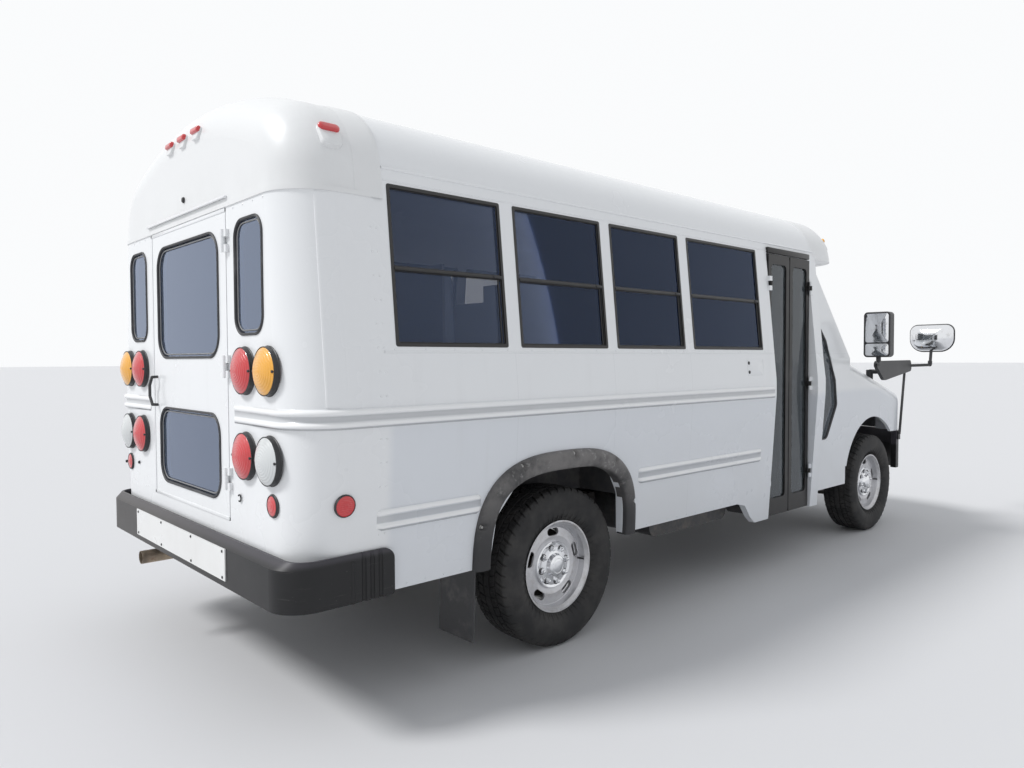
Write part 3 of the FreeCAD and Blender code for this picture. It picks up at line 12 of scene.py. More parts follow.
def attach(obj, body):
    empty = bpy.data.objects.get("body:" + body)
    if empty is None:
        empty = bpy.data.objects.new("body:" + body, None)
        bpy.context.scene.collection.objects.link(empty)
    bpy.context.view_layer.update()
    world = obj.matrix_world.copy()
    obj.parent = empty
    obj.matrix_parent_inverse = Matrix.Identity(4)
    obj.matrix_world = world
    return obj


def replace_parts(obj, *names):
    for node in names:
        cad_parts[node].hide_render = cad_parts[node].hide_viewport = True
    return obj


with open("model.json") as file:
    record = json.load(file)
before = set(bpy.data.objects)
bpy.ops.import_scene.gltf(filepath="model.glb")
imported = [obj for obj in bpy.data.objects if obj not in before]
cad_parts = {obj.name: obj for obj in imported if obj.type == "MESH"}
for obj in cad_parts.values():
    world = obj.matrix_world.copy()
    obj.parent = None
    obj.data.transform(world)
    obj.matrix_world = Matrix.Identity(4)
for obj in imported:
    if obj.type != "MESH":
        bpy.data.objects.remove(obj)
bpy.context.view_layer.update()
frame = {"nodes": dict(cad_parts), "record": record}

bl_info = {
    "name": "Minibus dressing",
    "version": (1, 0, 0),
    "blender": (4, 5, 0),
    "location": "View3D > Sidebar > Minibus",
    "description": "Finishes and fine pieces of a cutaway minibus",
    "category": "Object",
}

# The same places as in the part's source: millimetres, x from the rear axle
MIDDLE = 1560.5
REAR_X = -1383.0
SEAM_X = -1045.0
BELT_HALF = 1070.0
BELT_FOOT_Z = 1130.0
BELT_TOP_Z = 1230.0
CORNER_R = 188.0
LEAN = math.radians(5.64)
SKIRT_LEAN = math.radians(3.79)
WHEELBASE = 3563.0
WHEEL_R = 382.0
WHEEL_Y = 865.0
WINDOWS = ((-978.0, -403.0), (-327.0, 255.0), (327.0, 906.0), (987.0, 1732.0))
SILL_Z = 1425.0
HEAD_Z = 2050.0
SASH_Z = 1725.0
LAP_Z = 1404.0
SEAMS = (-365.0, 291.0, 946.0)
DRIP_Z = 2108.0
CAB_HALF = 985.0
SCREEN_FOOT_Z, SCREEN_FOOT_HALF = 1370.0, 930.0
SCREEN_HEAD_Z, SCREEN_HEAD_HALF = 2060.0, 806.0
NOSE_CENTRE_X, NOSE_R = 2086.7, 2203.3
EAVE_Y, EAVE_CENTRE_Z, EAVE_R = 656.26, 2051.47, 331.0
EAVE_TURN = math.radians(20.306)
ROOF_R, CROWN_Z = 2221.96, 2500.0
WHEELS = (("front", "left", WHEELBASE, 1), ("front", "right", WHEELBASE, -1),
          ("rear", "left", 0.0, 1), ("rear", "right", 0.0, -1))

# Directions out of the rear wall, the side walls above the belt and below it, and up
REARWARD = (-1.0, 0.0, 0.0)
WALL_OUT = (0.0, math.cos(LEAN), math.sin(LEAN))
SKIRT_OUT = (0.0, math.cos(SKIRT_LEAN), -math.sin(SKIRT_LEAN))
UPWARD = (0.0, 0.0, 1.0)

# Profiles: tyre wall (across, radius), flare (in, proud), belt rail and lower rail (height, proud)
PITCHES = 48
TYRE_WALL = np.array([
    (100.5, 375.0), (105.5, 370.0), (110.5, 362.0), (115.5, 350.0), (119.5, 334.0), (121.6, 318.0),
    (121.9, 312.0), (120.5, 292.0), (117.0, 276.0), (110.0, 256.0), (101.0, 243.0), (95.0, 236.0),
    (90.0, 224.0), (84.0, 217.0), (79.0, 209.0)])
POCKETS = (0.115, 0.33, 0.53, 0.715, 0.90)
FLARE_PROFILE = np.array([
    (-3.0, -2.0), (-3.0, 5.0), (-1.5, 9.0), (1.0, 15.0), (6.0, 22.0), (14.0, 28.0), (24.0, 31.0),
    (36.0, 32.0), (50.0, 31.5), (62.0, 30.0), (72.0, 27.5), (79.0, 24.0), (82.5, 17.0), (82.5, -34.0),
    (78.0, -34.0), (76.0, 10.0)])
BELT_PROFILE = np.array([
    (1124, -2), (1127, 3), (1131, 11), (1137, 15.5), (1144, 15.5), (1150, 11), (1153, 5), (1163, 4),
    (1173, 5), (1176, 11), (1182, 15.5), (1189, 15.5), (1195, 11), (1199, 3), (1202, -2)])
LOWER_PROFILE = np.array([
    (730, -2), (733, 3), (738, 10), (746, 14), (752, 13), (756, 8), (762, 4), (773, 3), (784, 4),
    (790, 8), (794, 13), (800, 14), (808, 10), (813, 3), (816, -2.0)])

# Lamps (y, z, radius, depth, colour), panes (y, z, corner radius), and the benches' rows on each side
LAMPS = ((625.0, 1335.0, 89.0, 46.0, "red"), (830.0, 1335.0, 89.0, 46.0, "amber"),
         (628.0, 1007.0, 89.0, 46.0, "red"), (838.0, 1007.0, 89.0, 46.0, "clear"),
         (852.0, 844.0, 39.0, 12.0, "red"))
REAR_PANES = (((543, 790), (1475, 1916), 70),)
DOOR_PANES = (((-371, 371), (1389, 1905), 100), ((-366, 366), (802, 1152), 90))
QUARTER = ((2612, 1690), (2650, 1690), (2770, 1500), (2880, 1210), (2908, 1030), (2748, 792), (2612, 792))
BENCH_ROWS = ((1, (-743.0, 10.0, 763.0, 1516.0)), (-1, (-743.0, 10.0, 763.0)))

# Pads, in metres: side of a remeshed face, and the sewn channels' depth and width; steps of the simulation
PAD_VOXEL = 0.018
CHANNEL_DEPTH, CHANNEL_WIDTH = 0.007, 0.009
CLOTH_STEPS = 20

# Stage, in metres and degrees: the camera's place, then its heading, pitch and roll
FLOOR_SIZE = 400.0
CAMERA_PLACE = (-4.141, -3.4509, 1.3764)
CAMERA_TURNS = ((-42.456, "Z"), (88.091, "X"), (-0.244, "Z"))


# Sizes and colours that a user may change
class BusSizes(bpy.types.PropertyGroup):
    groove_depth: FloatProperty(
        name="Tread depth", description="Depth of the tyre grooves", default=0.009, min=0.002, max=0.015,
        unit="LENGTH")
    gasket_width: FloatProperty(
        name="Gasket width", description="Width of the rubber around fixed panes", default=0.011, min=0.01,
        max=0.05, unit="LENGTH")
    rivet_radius: FloatProperty(
        name="Rivet head", description="Radius of the rivet heads on the panels", default=0.0042, min=0.002,
        max=0.01, unit="LENGTH")
    rivet_step: FloatProperty(
        name="Rivet spacing", description="Distance between rivets in a row", default=0.09, min=0.03,
        max=0.3, unit="LENGTH")
    crown: FloatProperty(
        name="Cushion crown", description="How far a seat cushion may swell", default=0.014, min=0.002,
        max=0.03, unit="LENGTH")
    lens_ribs: IntProperty(
        name="Lens ribs", description="Rings moulded in each round lens", default=9, min=2, max=20)


class BusColours(bpy.types.PropertyGroup):
    body: FloatVectorProperty(
        name="Body paint", description="White paint of walls, doors and nose", subtype="COLOR",
        default=(0.86, 0.87, 0.88), min=0, max=1)
    cap: FloatVectorProperty(
        name="Moulded caps", description="White resin of the two roof caps", subtype="COLOR",
        default=(0.82, 0.825, 0.825), min=0, max=1)
    trim: FloatVectorProperty(
        name="Black trim", description="Black rubber and moulded trim", subtype="COLOR",
        default=(0.028, 0.028, 0.030), min=0, max=1)
    frame: FloatVectorProperty(
        name="Window frames", description="Dark anodised frames", subtype="COLOR",
        default=(0.016, 0.015, 0.015), min=0, max=1)
    tint: FloatVectorProperty(
        name="Side glass", description="Tint of the passenger windows", subtype="COLOR",
        default=(0.018, 0.032, 0.070), min=0, max=1)
    seat: FloatVectorProperty(
        name="Seat vinyl", description="Vinyl of the benches", subtype="COLOR",
        default=(0.36, 0.41, 0.50), min=0, max=1)
    rim: FloatVectorProperty(
        name="Wheel paint", description="Silver paint of the steel wheels", subtype="COLOR",
        default=(0.62, 0.62, 0.64), min=0, max=1)
    red: FloatVectorProperty(
        name="Red lens", description="Stop lamps and reflectors", subtype="COLOR",
        default=(0.62, 0.012, 0.018), min=0, max=1)
    amber: FloatVectorProperty(
        name="Amber lens", description="Turn and warning lamps", subtype="COLOR",
        default=(0.92, 0.42, 0.012), min=0, max=1)


class BusStage(bpy.types.PropertyGroup):
    sun: FloatProperty(
        name="Key light", description="Strength of the soft key light", default=2.05, min=0, max=10)
    sky: FloatProperty(
        name="Surrounding light", description="Strength of the even light from all round", default=0.62,
        min=0, max=3)
    floor: FloatVectorProperty(
        name="Floor", description="Colour of the floor", subtype="COLOR", default=(0.70, 0.70, 0.71),
        min=0, max=1)
    lens: FloatProperty(
        name="Lens", description="Focal length of the camera", default=26.46, min=10, max=100)


# Surfaces
def metres(points):
    """Places in millimetres from the rear axle, as metres in the common frame: x is moved by the middle."""
    out = np.array(points, float)
    out[..., 0] -= MIDDLE
    return out * 0.001


def grid(points, wrap_u=False, wrap_v=False, flip=False):
    """Four-sided faces over rows and columns of points; either direction may close on itself."""
    nu, nv = points.shape[:2]
    u, v = np.meshgrid(np.arange(nu if wrap_u else nu - 1), np.arange(nv if wrap_v else nv - 1),
                       indexing="ij")
    u2, v2 = (u + 1) % nu, (v + 1) % nv
    faces = np.stack([u * nv + v, u2 * nv + v, u2 * nv + v2, u * nv + v2], -1).reshape(-1, 4)
    return points.reshape(-1, 3), faces[:, ::-1] if flip else faces


def joined(parts):
    """Several pairs of points and faces as one pair."""
    shifts = np.cumsum([0] + [len(points) for points, faces in parts[:-1]])
    return (np.concatenate([points for points, faces in parts]),
            np.concatenate([faces + shift for (points, faces), shift in zip(parts, shifts)]))


def repeated(part, offsets):
    """The same surface moved to each offset: points plus offset, for all pairs at once."""
    points, faces = part
    offsets = np.asarray(offsets, float).reshape(-1, 3)
    moved = (points[None] + offsets[:, None]).reshape(-1, 3)
    shifts = np.arange(len(offsets)) * len(points)
    return moved, (faces[None] + shifts[:, None, None]).reshape(-1, faces.shape[1])


def other_side(part):
    """The mirror image on the other side of the bus: y changes sign, faces turn over."""
    points, faces = part
    return points * np.array([1, -1, 1]), faces[:, ::-1]


def unit(vectors):
    """Vectors divided by their lengths."""
    vectors = np.asarray(vectors, float)
    return vectors / np.linalg.norm(vectors, axis=-1, keepdims=True)


def tangents(line, closed=False):
    """Direction of a line at each point: next point less the one before, over its length."""
    return unit(np.roll(line, -1, 0) - np.roll(line, 1, 0) if closed else np.gradient(line, axis=0))


def sideways(line, closed=False):
    """Direction across a flat line, to the left of its run: (-b, a) where the tangent is (a, b)."""
    run = tangents(line, closed)
    return np.column_stack([-run[:, 1], run[:, 0]])


def distances(line):
    """How far along a line each of its points lies: running sum of the steps."""
    return np.concatenate([[0], np.cumsum(np.linalg.norm(np.diff(line, axis=0), axis=1))])


def flat(line, proud=0.0):
    """Outline (a, b) as points with a height."""
    line = np.asarray(line, float)
    return np.column_stack([line, np.full(len(line), float(proud))])


def level_row(along, height):
    """Places along a flat line that all have one height."""
    return np.column_stack([along, np.full(len(along), height)])


def at_x(x, line):
    """End-view line (y, z) as points at a place along the bus."""
    line = np.asarray(line, float)
    return np.column_stack([np.full(len(line), float(x)), line])


def closed_ends(rows):
    """Rows of points between two rows drawn in to the middles of the first and the last."""
    middles = [np.repeat(row.mean(1, keepdims=True), rows.shape[1], 1) for row in (rows[:1], rows[-1:])]
    return np.concatenate([middles[0], rows, middles[1]])


def both(part):
    """A surface with its mirror image on the other side of the bus."""
    return joined([part, other_side(part)])


def lathe(profile, centre, axis, count=48):
    """Surface of revolution: profile rows (r, h); point = centre + axis*h + r*(side*cos a + up*sin a)."""
    profile = np.asarray(profile, float)
    axis = unit(axis)
    side = unit(np.cross(axis, (0.3, 0.2, 1.0) if abs(axis[2]) < 0.9 else (1.0, 0.2, 0.1)))
    up = np.cross(axis, side)
    angle = np.linspace(0, 2 * math.pi, count, endpoint=False)[:, None, None]
    ring = np.cos(angle) * side + np.sin(angle) * up
    points = np.asarray(centre, float) + profile[None, :, 1:2] * axis + profile[None, :, 0:1] * ring
    return grid(points, wrap_u=True)


def rounded(points, radii, steps=6, closed=True):
    """Flat line through corner points: each corner becomes points on the arc that touches both its sides."""
    points = np.asarray(points, float)
    count = len(points)
    radii = np.broadcast_to(np.asarray(radii, float), (count,))
    out = []
    for i in range(count):
        if radii[i] <= 0 or (not closed and i in (0, count - 1)):
            out.append(points[i][None])
            continue
        back = unit(points[i - 1] - points[i])
        ahead = unit(points[(i + 1) % count] - points[i])
        half = math.acos(np.clip(back @ ahead, -1, 1)) / 2
        centre = points[i] + unit(back + ahead) * radii[i] / math.sin(half)
        start = points[i] + back * radii[i] / math.tan(half) - centre
        end = points[i] + ahead * radii[i] / math.tan(half) - centre
        share = np.linspace(0, 1, steps + 1)[:, None]
        out.append(centre + unit(start * (1 - share) + end * share) * radii[i])
    return np.concatenate(out)


def rectangle(a, b, radius, steps=6):
    """Closed line round a rectangle with rounded corners."""
    return rounded([(a[0], b[0]), (a[1], b[0]), (a[1], b[1]), (a[0], b[1])], radius, steps)


def swept(path, section, out, closed=False):
    """A section carried along a path: point = path + across*s + lift*t, across = out x tangent."""
    path, section = np.asarray(path, float), np.asarray(section, float)
    run = tangents(path, closed)
    across = unit(np.cross(np.broadcast_to(np.asarray(out, float), path.shape), run))
    lift = np.cross(run, across)
    points = path[:, None] + across[:, None] * section[None, :, 0:1] + lift[:, None] * section[None, :, 1:2]
    return grid(points if closed else closed_ends(points), wrap_u=closed, wrap_v=True, flip=True)


def circle(radius, count=12):
    """Section points on a circle."""
    angle = np.linspace(0, 2 * math.pi, count, endpoint=False)
    return np.stack([np.cos(angle), np.sin(angle)], 1) * radius


def tube(points, radius, bend=40.0, steps=5, count=12):
    """Round bar along corner points with rounded bends: circle carried along the smoothed line."""
    points = np.asarray(points, float)
    rows = [points[:1]]
    for i in range(1, len(points) - 1):
        back, ahead = points[i - 1] - points[i], points[i + 1] - points[i]
        reach = min(bend, 0.45 * np.linalg.norm(back), 0.45 * np.linalg.norm(ahead))
        a, b = points[i] + unit(back) * reach, points[i] + unit(ahead) * reach
        share = np.linspace(0, 1, steps + 1)[:, None]
        rows.append((1 - share) ** 2 * a + 2 * share * (1 - share) * points[i] + share ** 2 * b)
    path = np.concatenate(rows + [points[-1:]])
    main = np.argmin(np.abs(np.gradient(path, axis=0)).sum(0))
    return swept(path, circle(radius, count), np.eye(3)[main])


def block(low, high, soft=2.0, steps=2):
    """Box with rounded edges: rounded outline carried up through inset rows, its corners drawn in with it."""
    low, high = np.asarray(low, float), np.asarray(high, float)
    soft = min(soft, 0.45 * (high - low).min())
    angle = np.linspace(0, math.pi / 2, steps + 1)
    ends = soft * 0.999 + 0.4 * (high - low)[:2].min() - soft * 0.4
    inset = np.concatenate([[ends], soft * (1 - np.sin(angle)), soft * (1 - np.cos(angle)), [ends]])
    top = (high - low)[2]
    lift = np.concatenate([[0.0], soft * (1 - np.cos(angle)), top - soft * (1 - np.sin(angle)), [top]])
    rows = []
    for gap, z in zip(inset, lift):
        ring = rectangle((low[0] + gap, high[0] - gap), (low[1] + gap, high[1] - gap),
                         max(soft - gap, 0.05), steps)
        rows.append(flat(ring, low[2] + z))
    return grid(closed_ends(np.stack(rows)), wrap_v=True, flip=True)


def wall_half(z):
    """Half width of the body: belt half width less the lean above the belt or below it."""
    z = np.asarray(z, float)
    return (BELT_HALF - np.maximum(z - BELT_TOP_Z, 0) * math.tan(LEAN)
            - np.maximum(BELT_FOOT_Z - z, 0) * math.tan(SKIRT_LEAN))


def on_wall(line, proud=0.0):
    """Side-view line (x, z) laid on the left wall: y = half width there plus how far it stands proud."""
    line = np.asarray(line, float)
    return np.column_stack([line[:, 0], wall_half(line[:, 1]) + proud, line[:, 1]])


def on_rear(line, proud=0.0):
    """End-view line (y, z) laid on the rear wall: x = rear face less how far it stands proud."""
    return at_x(REAR_X - proud, line)


def merged(mesh, reach):
    """Merges the points of a mesh that are nearer than reach, and turns its faces outwards."""
    shape = bmesh.new()
    shape.from_mesh(mesh)
    bmesh.ops.remove_doubles(shape, verts=shape.verts, dist=reach)
    bmesh.ops.dissolve_degenerate(shape, edges=shape.edges, dist=1e-6)
    bmesh.ops.recalc_face_normals(shape, faces=shape.faces)
    shape.to_mesh(mesh)
    shape.free()


def piece(name, part, body, look, sharp=40.0, weld=True):
    """Mesh object from points in millimetres and faces, smooth where they meet at less than sharp degrees."""
    points, faces = part
    mesh = bpy.data.meshes.new(name)
    mesh.from_pydata(metres(points).astype(np.float32).tolist(), [], faces.tolist())
    if weld:
        merged(mesh, 2e-5)
    mesh.validate()
    mesh.polygons.foreach_set("use_smooth", [True] * len(mesh.polygons))
    mesh.set_sharp_from_angle(angle=math.radians(sharp))
    mesh.materials.append(finish_for(look))
    made = bpy.data.objects.new(name, mesh)
    bpy.context.scene.collection.objects.link(made)
    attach(made, body)
    return made


# Finishes
class Value:
    """A number socket of a finish. Arithmetic on it adds Math nodes."""

    def __init__(self, finish, socket):
        self.finish = finish
        self.socket = socket

    def math(self, operation, *others):
        return self.finish.node("Math", {"operation": operation}, dict(enumerate((self,) + others)))

    def __add__(self, other):
        return self.math("ADD", other)

    def __sub__(self, other):
        return self.math("SUBTRACT", other)

    def __mul__(self, other):
        return self.math("MULTIPLY", other)

    def __rsub__(self, other):
        return self.finish.node("Math", {"operation": "SUBTRACT"}, {0: other, 1: self})

    __radd__ = __add__
    __rmul__ = __mul__

    def __abs__(self):
        return self.math("ABSOLUTE")


class Finish:
    """One procedural material: a Principled shader with constants, and the nodes that vary it."""

    def __init__(self, name, **constants):
        self.material = bpy.data.materials.new(name)
        self.material.use_nodes = True
        self.tree = self.material.node_tree
        self.tree.nodes.clear()
        self.shader = self.tree.nodes.new("ShaderNodeBsdfPrincipled")
        self.end = self.tree.nodes.new("ShaderNodeOutputMaterial")
        self.tree.links.new(self.shader.outputs[0], self.end.inputs["Surface"])
        for key, value in constants.items():
            self.shader.inputs[key.replace("_", " ")].default_value = value
        self.spot = None

    @classmethod
    def of(cls, material):
        """A finish made earlier, opened again, and the value that now feeds its colour."""
        finish = cls.__new__(cls)
        finish.material, finish.tree, finish.spot = material, material.node_tree, None
        finish.shader = next(n for n in finish.tree.nodes if n.type == "BSDF_PRINCIPLED")
        return finish, Value(finish, finish.shader.inputs["Base Color"].links[0].from_socket)

    def node(self, kind, settings=None, sockets=None, output=0):
        """A node of a kind, with its settings, the values or links of its sockets, and the output wanted."""
        made = self.tree.nodes.new("ShaderNode" + kind)
        for key, value in (settings or {}).items():
            setattr(made, key, value)
        for key, value in (sockets or {}).items():
            if isinstance(value, Value):
                self.tree.links.new(value.socket, made.inputs[key])
            else:
                made.inputs[key].default_value = value
        return Value(self, made.outputs[output])

    def place(self):
        """Object coordinates: the vector, then x, y and z as numbers, in metres."""
        if self.spot is None:
            vector = self.node("TexCoord", output=3)
            outs = self.node("SeparateXYZ", {}, {0: vector}).socket.node.outputs
            self.spot = (vector, Value(self, outs[0]), Value(self, outs[1]), Value(self, outs[2]))
        return self.spot

    def noise(self, scale, detail=3.0, rough=0.55, stretch=None):
        """Noise in metres; stretch squeezes it along x, y and z."""
        vector = self.place()[0]
        if stretch:
            vector = self.node("Mapping", {}, {0: vector, 3: stretch})
        return self.node("TexNoise", {},
                         {"Vector": vector, "Scale": scale, "Detail": detail, "Roughness": rough})

    def cells(self, scale):
        """Distance to the nearest cell centre, for grains and leather."""
        return self.node("TexVoronoi", {"feature": "F1"}, {"Vector": self.place()[0], "Scale": scale})

    def rise(self, value, low, high):
        """0 below low and 1 above high, smooth between; high may be under low."""
        return self.node("MapRange", {"interpolation_type": "SMOOTHSTEP"},
                         {"Value": value, "From Min": low, "From Max": high})

    def band(self, value, low, high, soft):
        """1 between two limits."""
        return self.rise(value, low - soft, low + soft) * self.rise(value, high + soft, high - soft)

    def mix(self, factor, first, second):
        """Two colours mixed by a factor."""
        def four(colour):
            return colour if isinstance(colour, Value) else (*colour[:3], 1.0)
        return self.node("Mix", {"data_type": "RGBA"}, {0: factor, 6: four(first), 7: four(second)}, 2)

    def feed(self, **values):
        """Links values to the sockets of the shader that may vary."""
        for key, value in values.items():
            self.tree.links.new(value.socket, self.shader.inputs[key.replace("_", " ")])
        return self

    def bump(self, height, distance, strength=1.0):
        """Relief from a height between 0 and 1, distance in metres."""
        made = self.node("Bump", {}, {"Strength": strength, "Distance": distance, "Height": height})
        self.tree.links.new(made.socket, self.shader.inputs["Normal"])
        return self


def shade(colour, factor):
    """A colour made darker or lighter."""
    return tuple(min(1.0, c * factor) for c in colour[:3])


def panel_lines(finish):
    """Seams of the wall panels: thin lines at set heights and places, 1 on the line."""
    x, y, z = finish.place()[1:]
    lines = finish.rise(abs(z - LAP_Z * 0.001), 0.0022, 0.0008)
    for along in SEAMS:
        one = finish.rise(abs(x - (along - MIDDLE) * 0.001), 0.0022, 0.0008) * finish.rise(z, 1.405, 1.403)
        lines = lines.math("MAXIMUM", one)
    side = finish.rise(abs(y), 0.93, 0.95) * finish.rise(x, -2.6, -2.59)
    return lines * side


def painted_body(name, colour, seams=False):
    """Glossy white paint: orange peel, soft waves, road dust low down, thin streaks from the rails, and
    painted bluish shade on the walls below the belt.
    """
    finish = Finish(name, Coat_Weight=0.35, Coat_Roughness=0.08, IOR=1.45)
    x, _, z = finish.place()[1:]
    cloud = finish.noise(1.7, 4.0, 0.6)
    streak = finish.noise(9.0, 3.0, 0.6, (1.0, 1.0, 0.06))
    dust = finish.rise(z, 1.05, 0.42) * finish.rise(cloud, 0.32, 0.72) * 0.20
    runs = finish.rise(streak, 0.56, 0.80) * finish.rise(z, 2.2, 0.8) * 0.10
    specks = finish.rise(finish.noise(160.0, 2.0, 0.7), 0.70, 0.78) * finish.rise(z, 1.3, 0.5) * 0.25
    # Painted shade: the walls below the belt, from the rear seam forward, are mixed towards a bluish grey.
    skirt_shade = finish.rise(z, 1.16, 1.10) * finish.rise(x, -2.60, -2.55) * 0.42
    base = finish.mix(finish.rise(cloud, 0.3, 0.8) * 0.35, colour, shade(colour, 0.96))
    base = finish.mix(skirt_shade, base, (0.60, 0.64, 0.71))
    base = finish.mix(dust, base, (0.55, 0.53, 0.49))
    base = finish.mix(runs + specks, base, (0.48, 0.47, 0.45))
    height = finish.noise(420.0, 1.0, 0.5) * 0.12 + finish.noise(2.6, 2.0, 0.5)
    if seams:
        lines = panel_lines(finish)
        # Seam lines darkened a little: at the sheet lap this is a painted shadow under the sheet's edge, at
        # the upright seams they are dark joints.
        base = finish.mix(lines * 0.12, base, (0.30, 0.31, 0.32))
        height = height - lines * 0.3
    finish.feed(Base_Color=base, Roughness=0.20 + cloud * 0.12 + dust * 0.5)
    return finish.bump(height, 0.0012, 0.35).material


def moulded_resin(name, colour):
    """White gelcoat: soft gloss, slight print-through of the fibres, greyer near the lower lip."""
    finish = Finish(name, Coat_Weight=0.2, Coat_Roughness=0.15)
    z = finish.place()[3]
    cloud = finish.noise(2.3, 4.0, 0.6)
    weave = finish.cells(55.0)
    film = finish.rise(z, 2.25, 1.95) * finish.rise(cloud, 0.35, 0.7) * 0.25
    base = finish.mix(finish.rise(cloud, 0.3, 0.8) * 0.3, colour, shade(colour, 0.955))
    base = finish.mix(film, base, (0.66, 0.66, 0.65))
    finish.feed(Base_Color=base, Roughness=0.27 + cloud * 0.14)
    return finish.bump(weave * 0.10 + finish.noise(3.2, 2.0, 0.5), 0.0015, 0.3).material


def grained(name, colour, rough=0.5, scale=260.0, wear=0.15, depth=0.0005, metallic=0.0):
    """Moulded or painted dark surface: fine grain, cloudy fading and worn, paler patches."""
    finish = Finish(name, Metallic=metallic)
    cloud = finish.noise(6.0, 5.0, 0.62)
    fine = finish.noise(scale, 3.0, 0.6)
    worn = finish.rise(cloud, 0.52, 0.78) * wear
    base = finish.mix(finish.rise(fine, 0.25, 0.8), shade(colour, 0.82), shade(colour, 1.25))
    base = finish.mix(worn, base, (0.30, 0.29, 0.28))
    finish.feed(Base_Color=base, Roughness=rough + cloud * 0.16 - 0.08)
    return finish.bump(fine + finish.cells(scale * 0.5) * 0.5, depth, 0.6).material


def road_metal(name, colour, metallic=0.0, rust=0.2, rough=0.55):
    """Chassis metal: dust from above, rust blooms and a rough coat."""
    finish = Finish(name, Metallic=metallic)
    cloud = finish.noise(9.0, 6.0, 0.65)
    bloom = finish.noise(38.0, 5.0, 0.7)
    base = finish.mix(finish.rise(bloom, 0.35, 0.75), shade(colour, 0.75), shade(colour, 1.3))
    rusty = finish.rise(cloud * 0.6 + bloom * 0.4, 0.52, 0.66) * rust
    base = finish.mix(rusty, base, (0.20, 0.085, 0.035))
    base = finish.mix(finish.rise(cloud, 0.45, 0.8) * 0.35, base, (0.24, 0.22, 0.19))
    finish.feed(Base_Color=base, Roughness=rough + cloud * 0.2 - 0.05)
    return finish.bump(bloom, 0.0012, 0.5).material


def glass(name, tint, clear, dust=0.04, mirror=(0.92, 0.95, 1.0), ior=1.5):
    """Pane: a tinted see-through layer and a mirror layer, mixed by how steeply it is seen, with dust."""
    finish = Finish(name, Metallic=1.0, Roughness=0.02, Base_Color=(*mirror, 1.0))
    cloud = finish.noise(5.0, 4.0, 0.6)
    body = finish.tree.nodes.new("ShaderNodeBsdfPrincipled")
    body.inputs["Roughness"].default_value = 0.06
    body.inputs["Specular IOR Level"].default_value = 0.0
    film = finish.rise(cloud, 0.45, 0.8) * dust
    rear = finish.rise(finish.place()[1], -2.90, -2.91)
    colour = finish.mix(film, finish.mix(rear, tint, (0.20, 0.24, 0.27)), (0.5, 0.5, 0.5))
    finish.tree.links.new(colour.socket, body.inputs["Base Color"])
    alpha = film + (1.0 - clear) - rear * max(0.80 - clear, 0.0)
    finish.tree.links.new(alpha.math("MINIMUM", 1.0).socket, body.inputs["Alpha"])
    steep = finish.node("Fresnel", {}, {"IOR": ior})
    layers = finish.tree.nodes.new("ShaderNodeMixShader")
    finish.tree.links.new((steep + rear * 0.20).socket, layers.inputs[0])
    finish.tree.links.new(body.outputs[0], layers.inputs[1])
    finish.tree.links.new(finish.shader.outputs[0], layers.inputs[2])
    finish.tree.links.new(layers.outputs[0], finish.end.inputs["Surface"])
    return finish.material


def rubber(name, colour, dusty=0.25):
    """Tyre rubber: dull black with pale dust in broad patches and a fine skin."""
    finish = Finish(name, IOR=1.4)
    cloud = finish.noise(7.0, 5.0, 0.6)
    fine = finish.noise(300.0, 2.0, 0.6)
    base = finish.mix(finish.rise(cloud, 0.35, 0.75) * dusty, colour, (0.16, 0.15, 0.14))
    finish.feed(Base_Color=base, Roughness=0.62 + cloud * 0.2)
    return finish.bump(fine, 0.0004, 0.6).material


def from_axle(finish):
    """Distance from the nearer axle line in side view, for marks that follow the wheels."""
    x, _, z = finish.place()[1:]
    along = abs(x + MIDDLE * 0.001).math("MINIMUM", abs(x - (WHEELBASE - MIDDLE) * 0.001))
    up = z - WHEEL_R * 0.001
    return (along * along + up * up).math("SQRT")


def silver_wheel(name, colour):
    """Silver wheel paint: fine flake, brown brake dust in the slots' ring and near the rim's edge."""
    finish = Finish(name, Metallic=0.55, Coat_Weight=0.25, Coat_Roughness=0.2)
    flake = finish.noise(900.0, 1.0, 0.5)
    cloud = finish.noise(26.0, 4.0, 0.65)
    reach = from_axle(finish)
    dirt = (finish.band(reach, 0.128, 0.172, 0.02) * 0.4 + finish.rise(reach, 0.19, 0.215) * 0.6)
    dirt = dirt * finish.rise(cloud, 0.35, 0.75) * 0.65
    base = finish.mix(finish.rise(flake, 0.3, 0.7), shade(colour, 0.9), shade(colour, 1.12))
    base = finish.mix(dirt, base, (0.22, 0.17, 0.12))
    finish.feed(Base_Color=base, Roughness=0.30 + dirt * 0.5 + flake * 0.08)
    return finish.bump(flake * 0.3 + cloud, 0.0004, 0.3).material


def chrome(name):
    """Bright plating with faint pits and a little film."""
    finish = Finish(name, Metallic=1.0)
    cloud = finish.noise(40.0, 4.0, 0.6)
    base = finish.mix(finish.rise(cloud, 0.5, 0.8) * 0.4, (0.80, 0.81, 0.83), (0.42, 0.40, 0.38))
    finish.feed(Base_Color=base, Roughness=0.07 + finish.rise(cloud, 0.5, 0.8) * 0.25)
    return finish.bump(cloud, 0.0003, 0.3).material


def lens(name, colour, pale=0.25):
    """Coloured lens: clear coat over a deep colour with paler facets and fine prisms."""
    finish = Finish(name, Coat_Weight=1.0, Coat_Roughness=0.03, IOR=1.49, Roughness=0.3)
    y, z = finish.place()[2:]
    prism = (z * 900.0).math("SINE") * (y * 900.0).math("SINE")
    cloud = finish.noise(18.0, 2.0, 0.5)
    base = finish.mix(finish.rise(prism, -0.4, 0.9) * pale, colour, tuple(c * 0.6 + 0.34 for c in colour[:3]))
    base = finish.mix(finish.rise(cloud, 0.5, 0.75) * 0.3, base, shade(colour, 0.7))
    finish.feed(Base_Color=base)
    return finish.bump(prism, 0.0006, 0.35).material


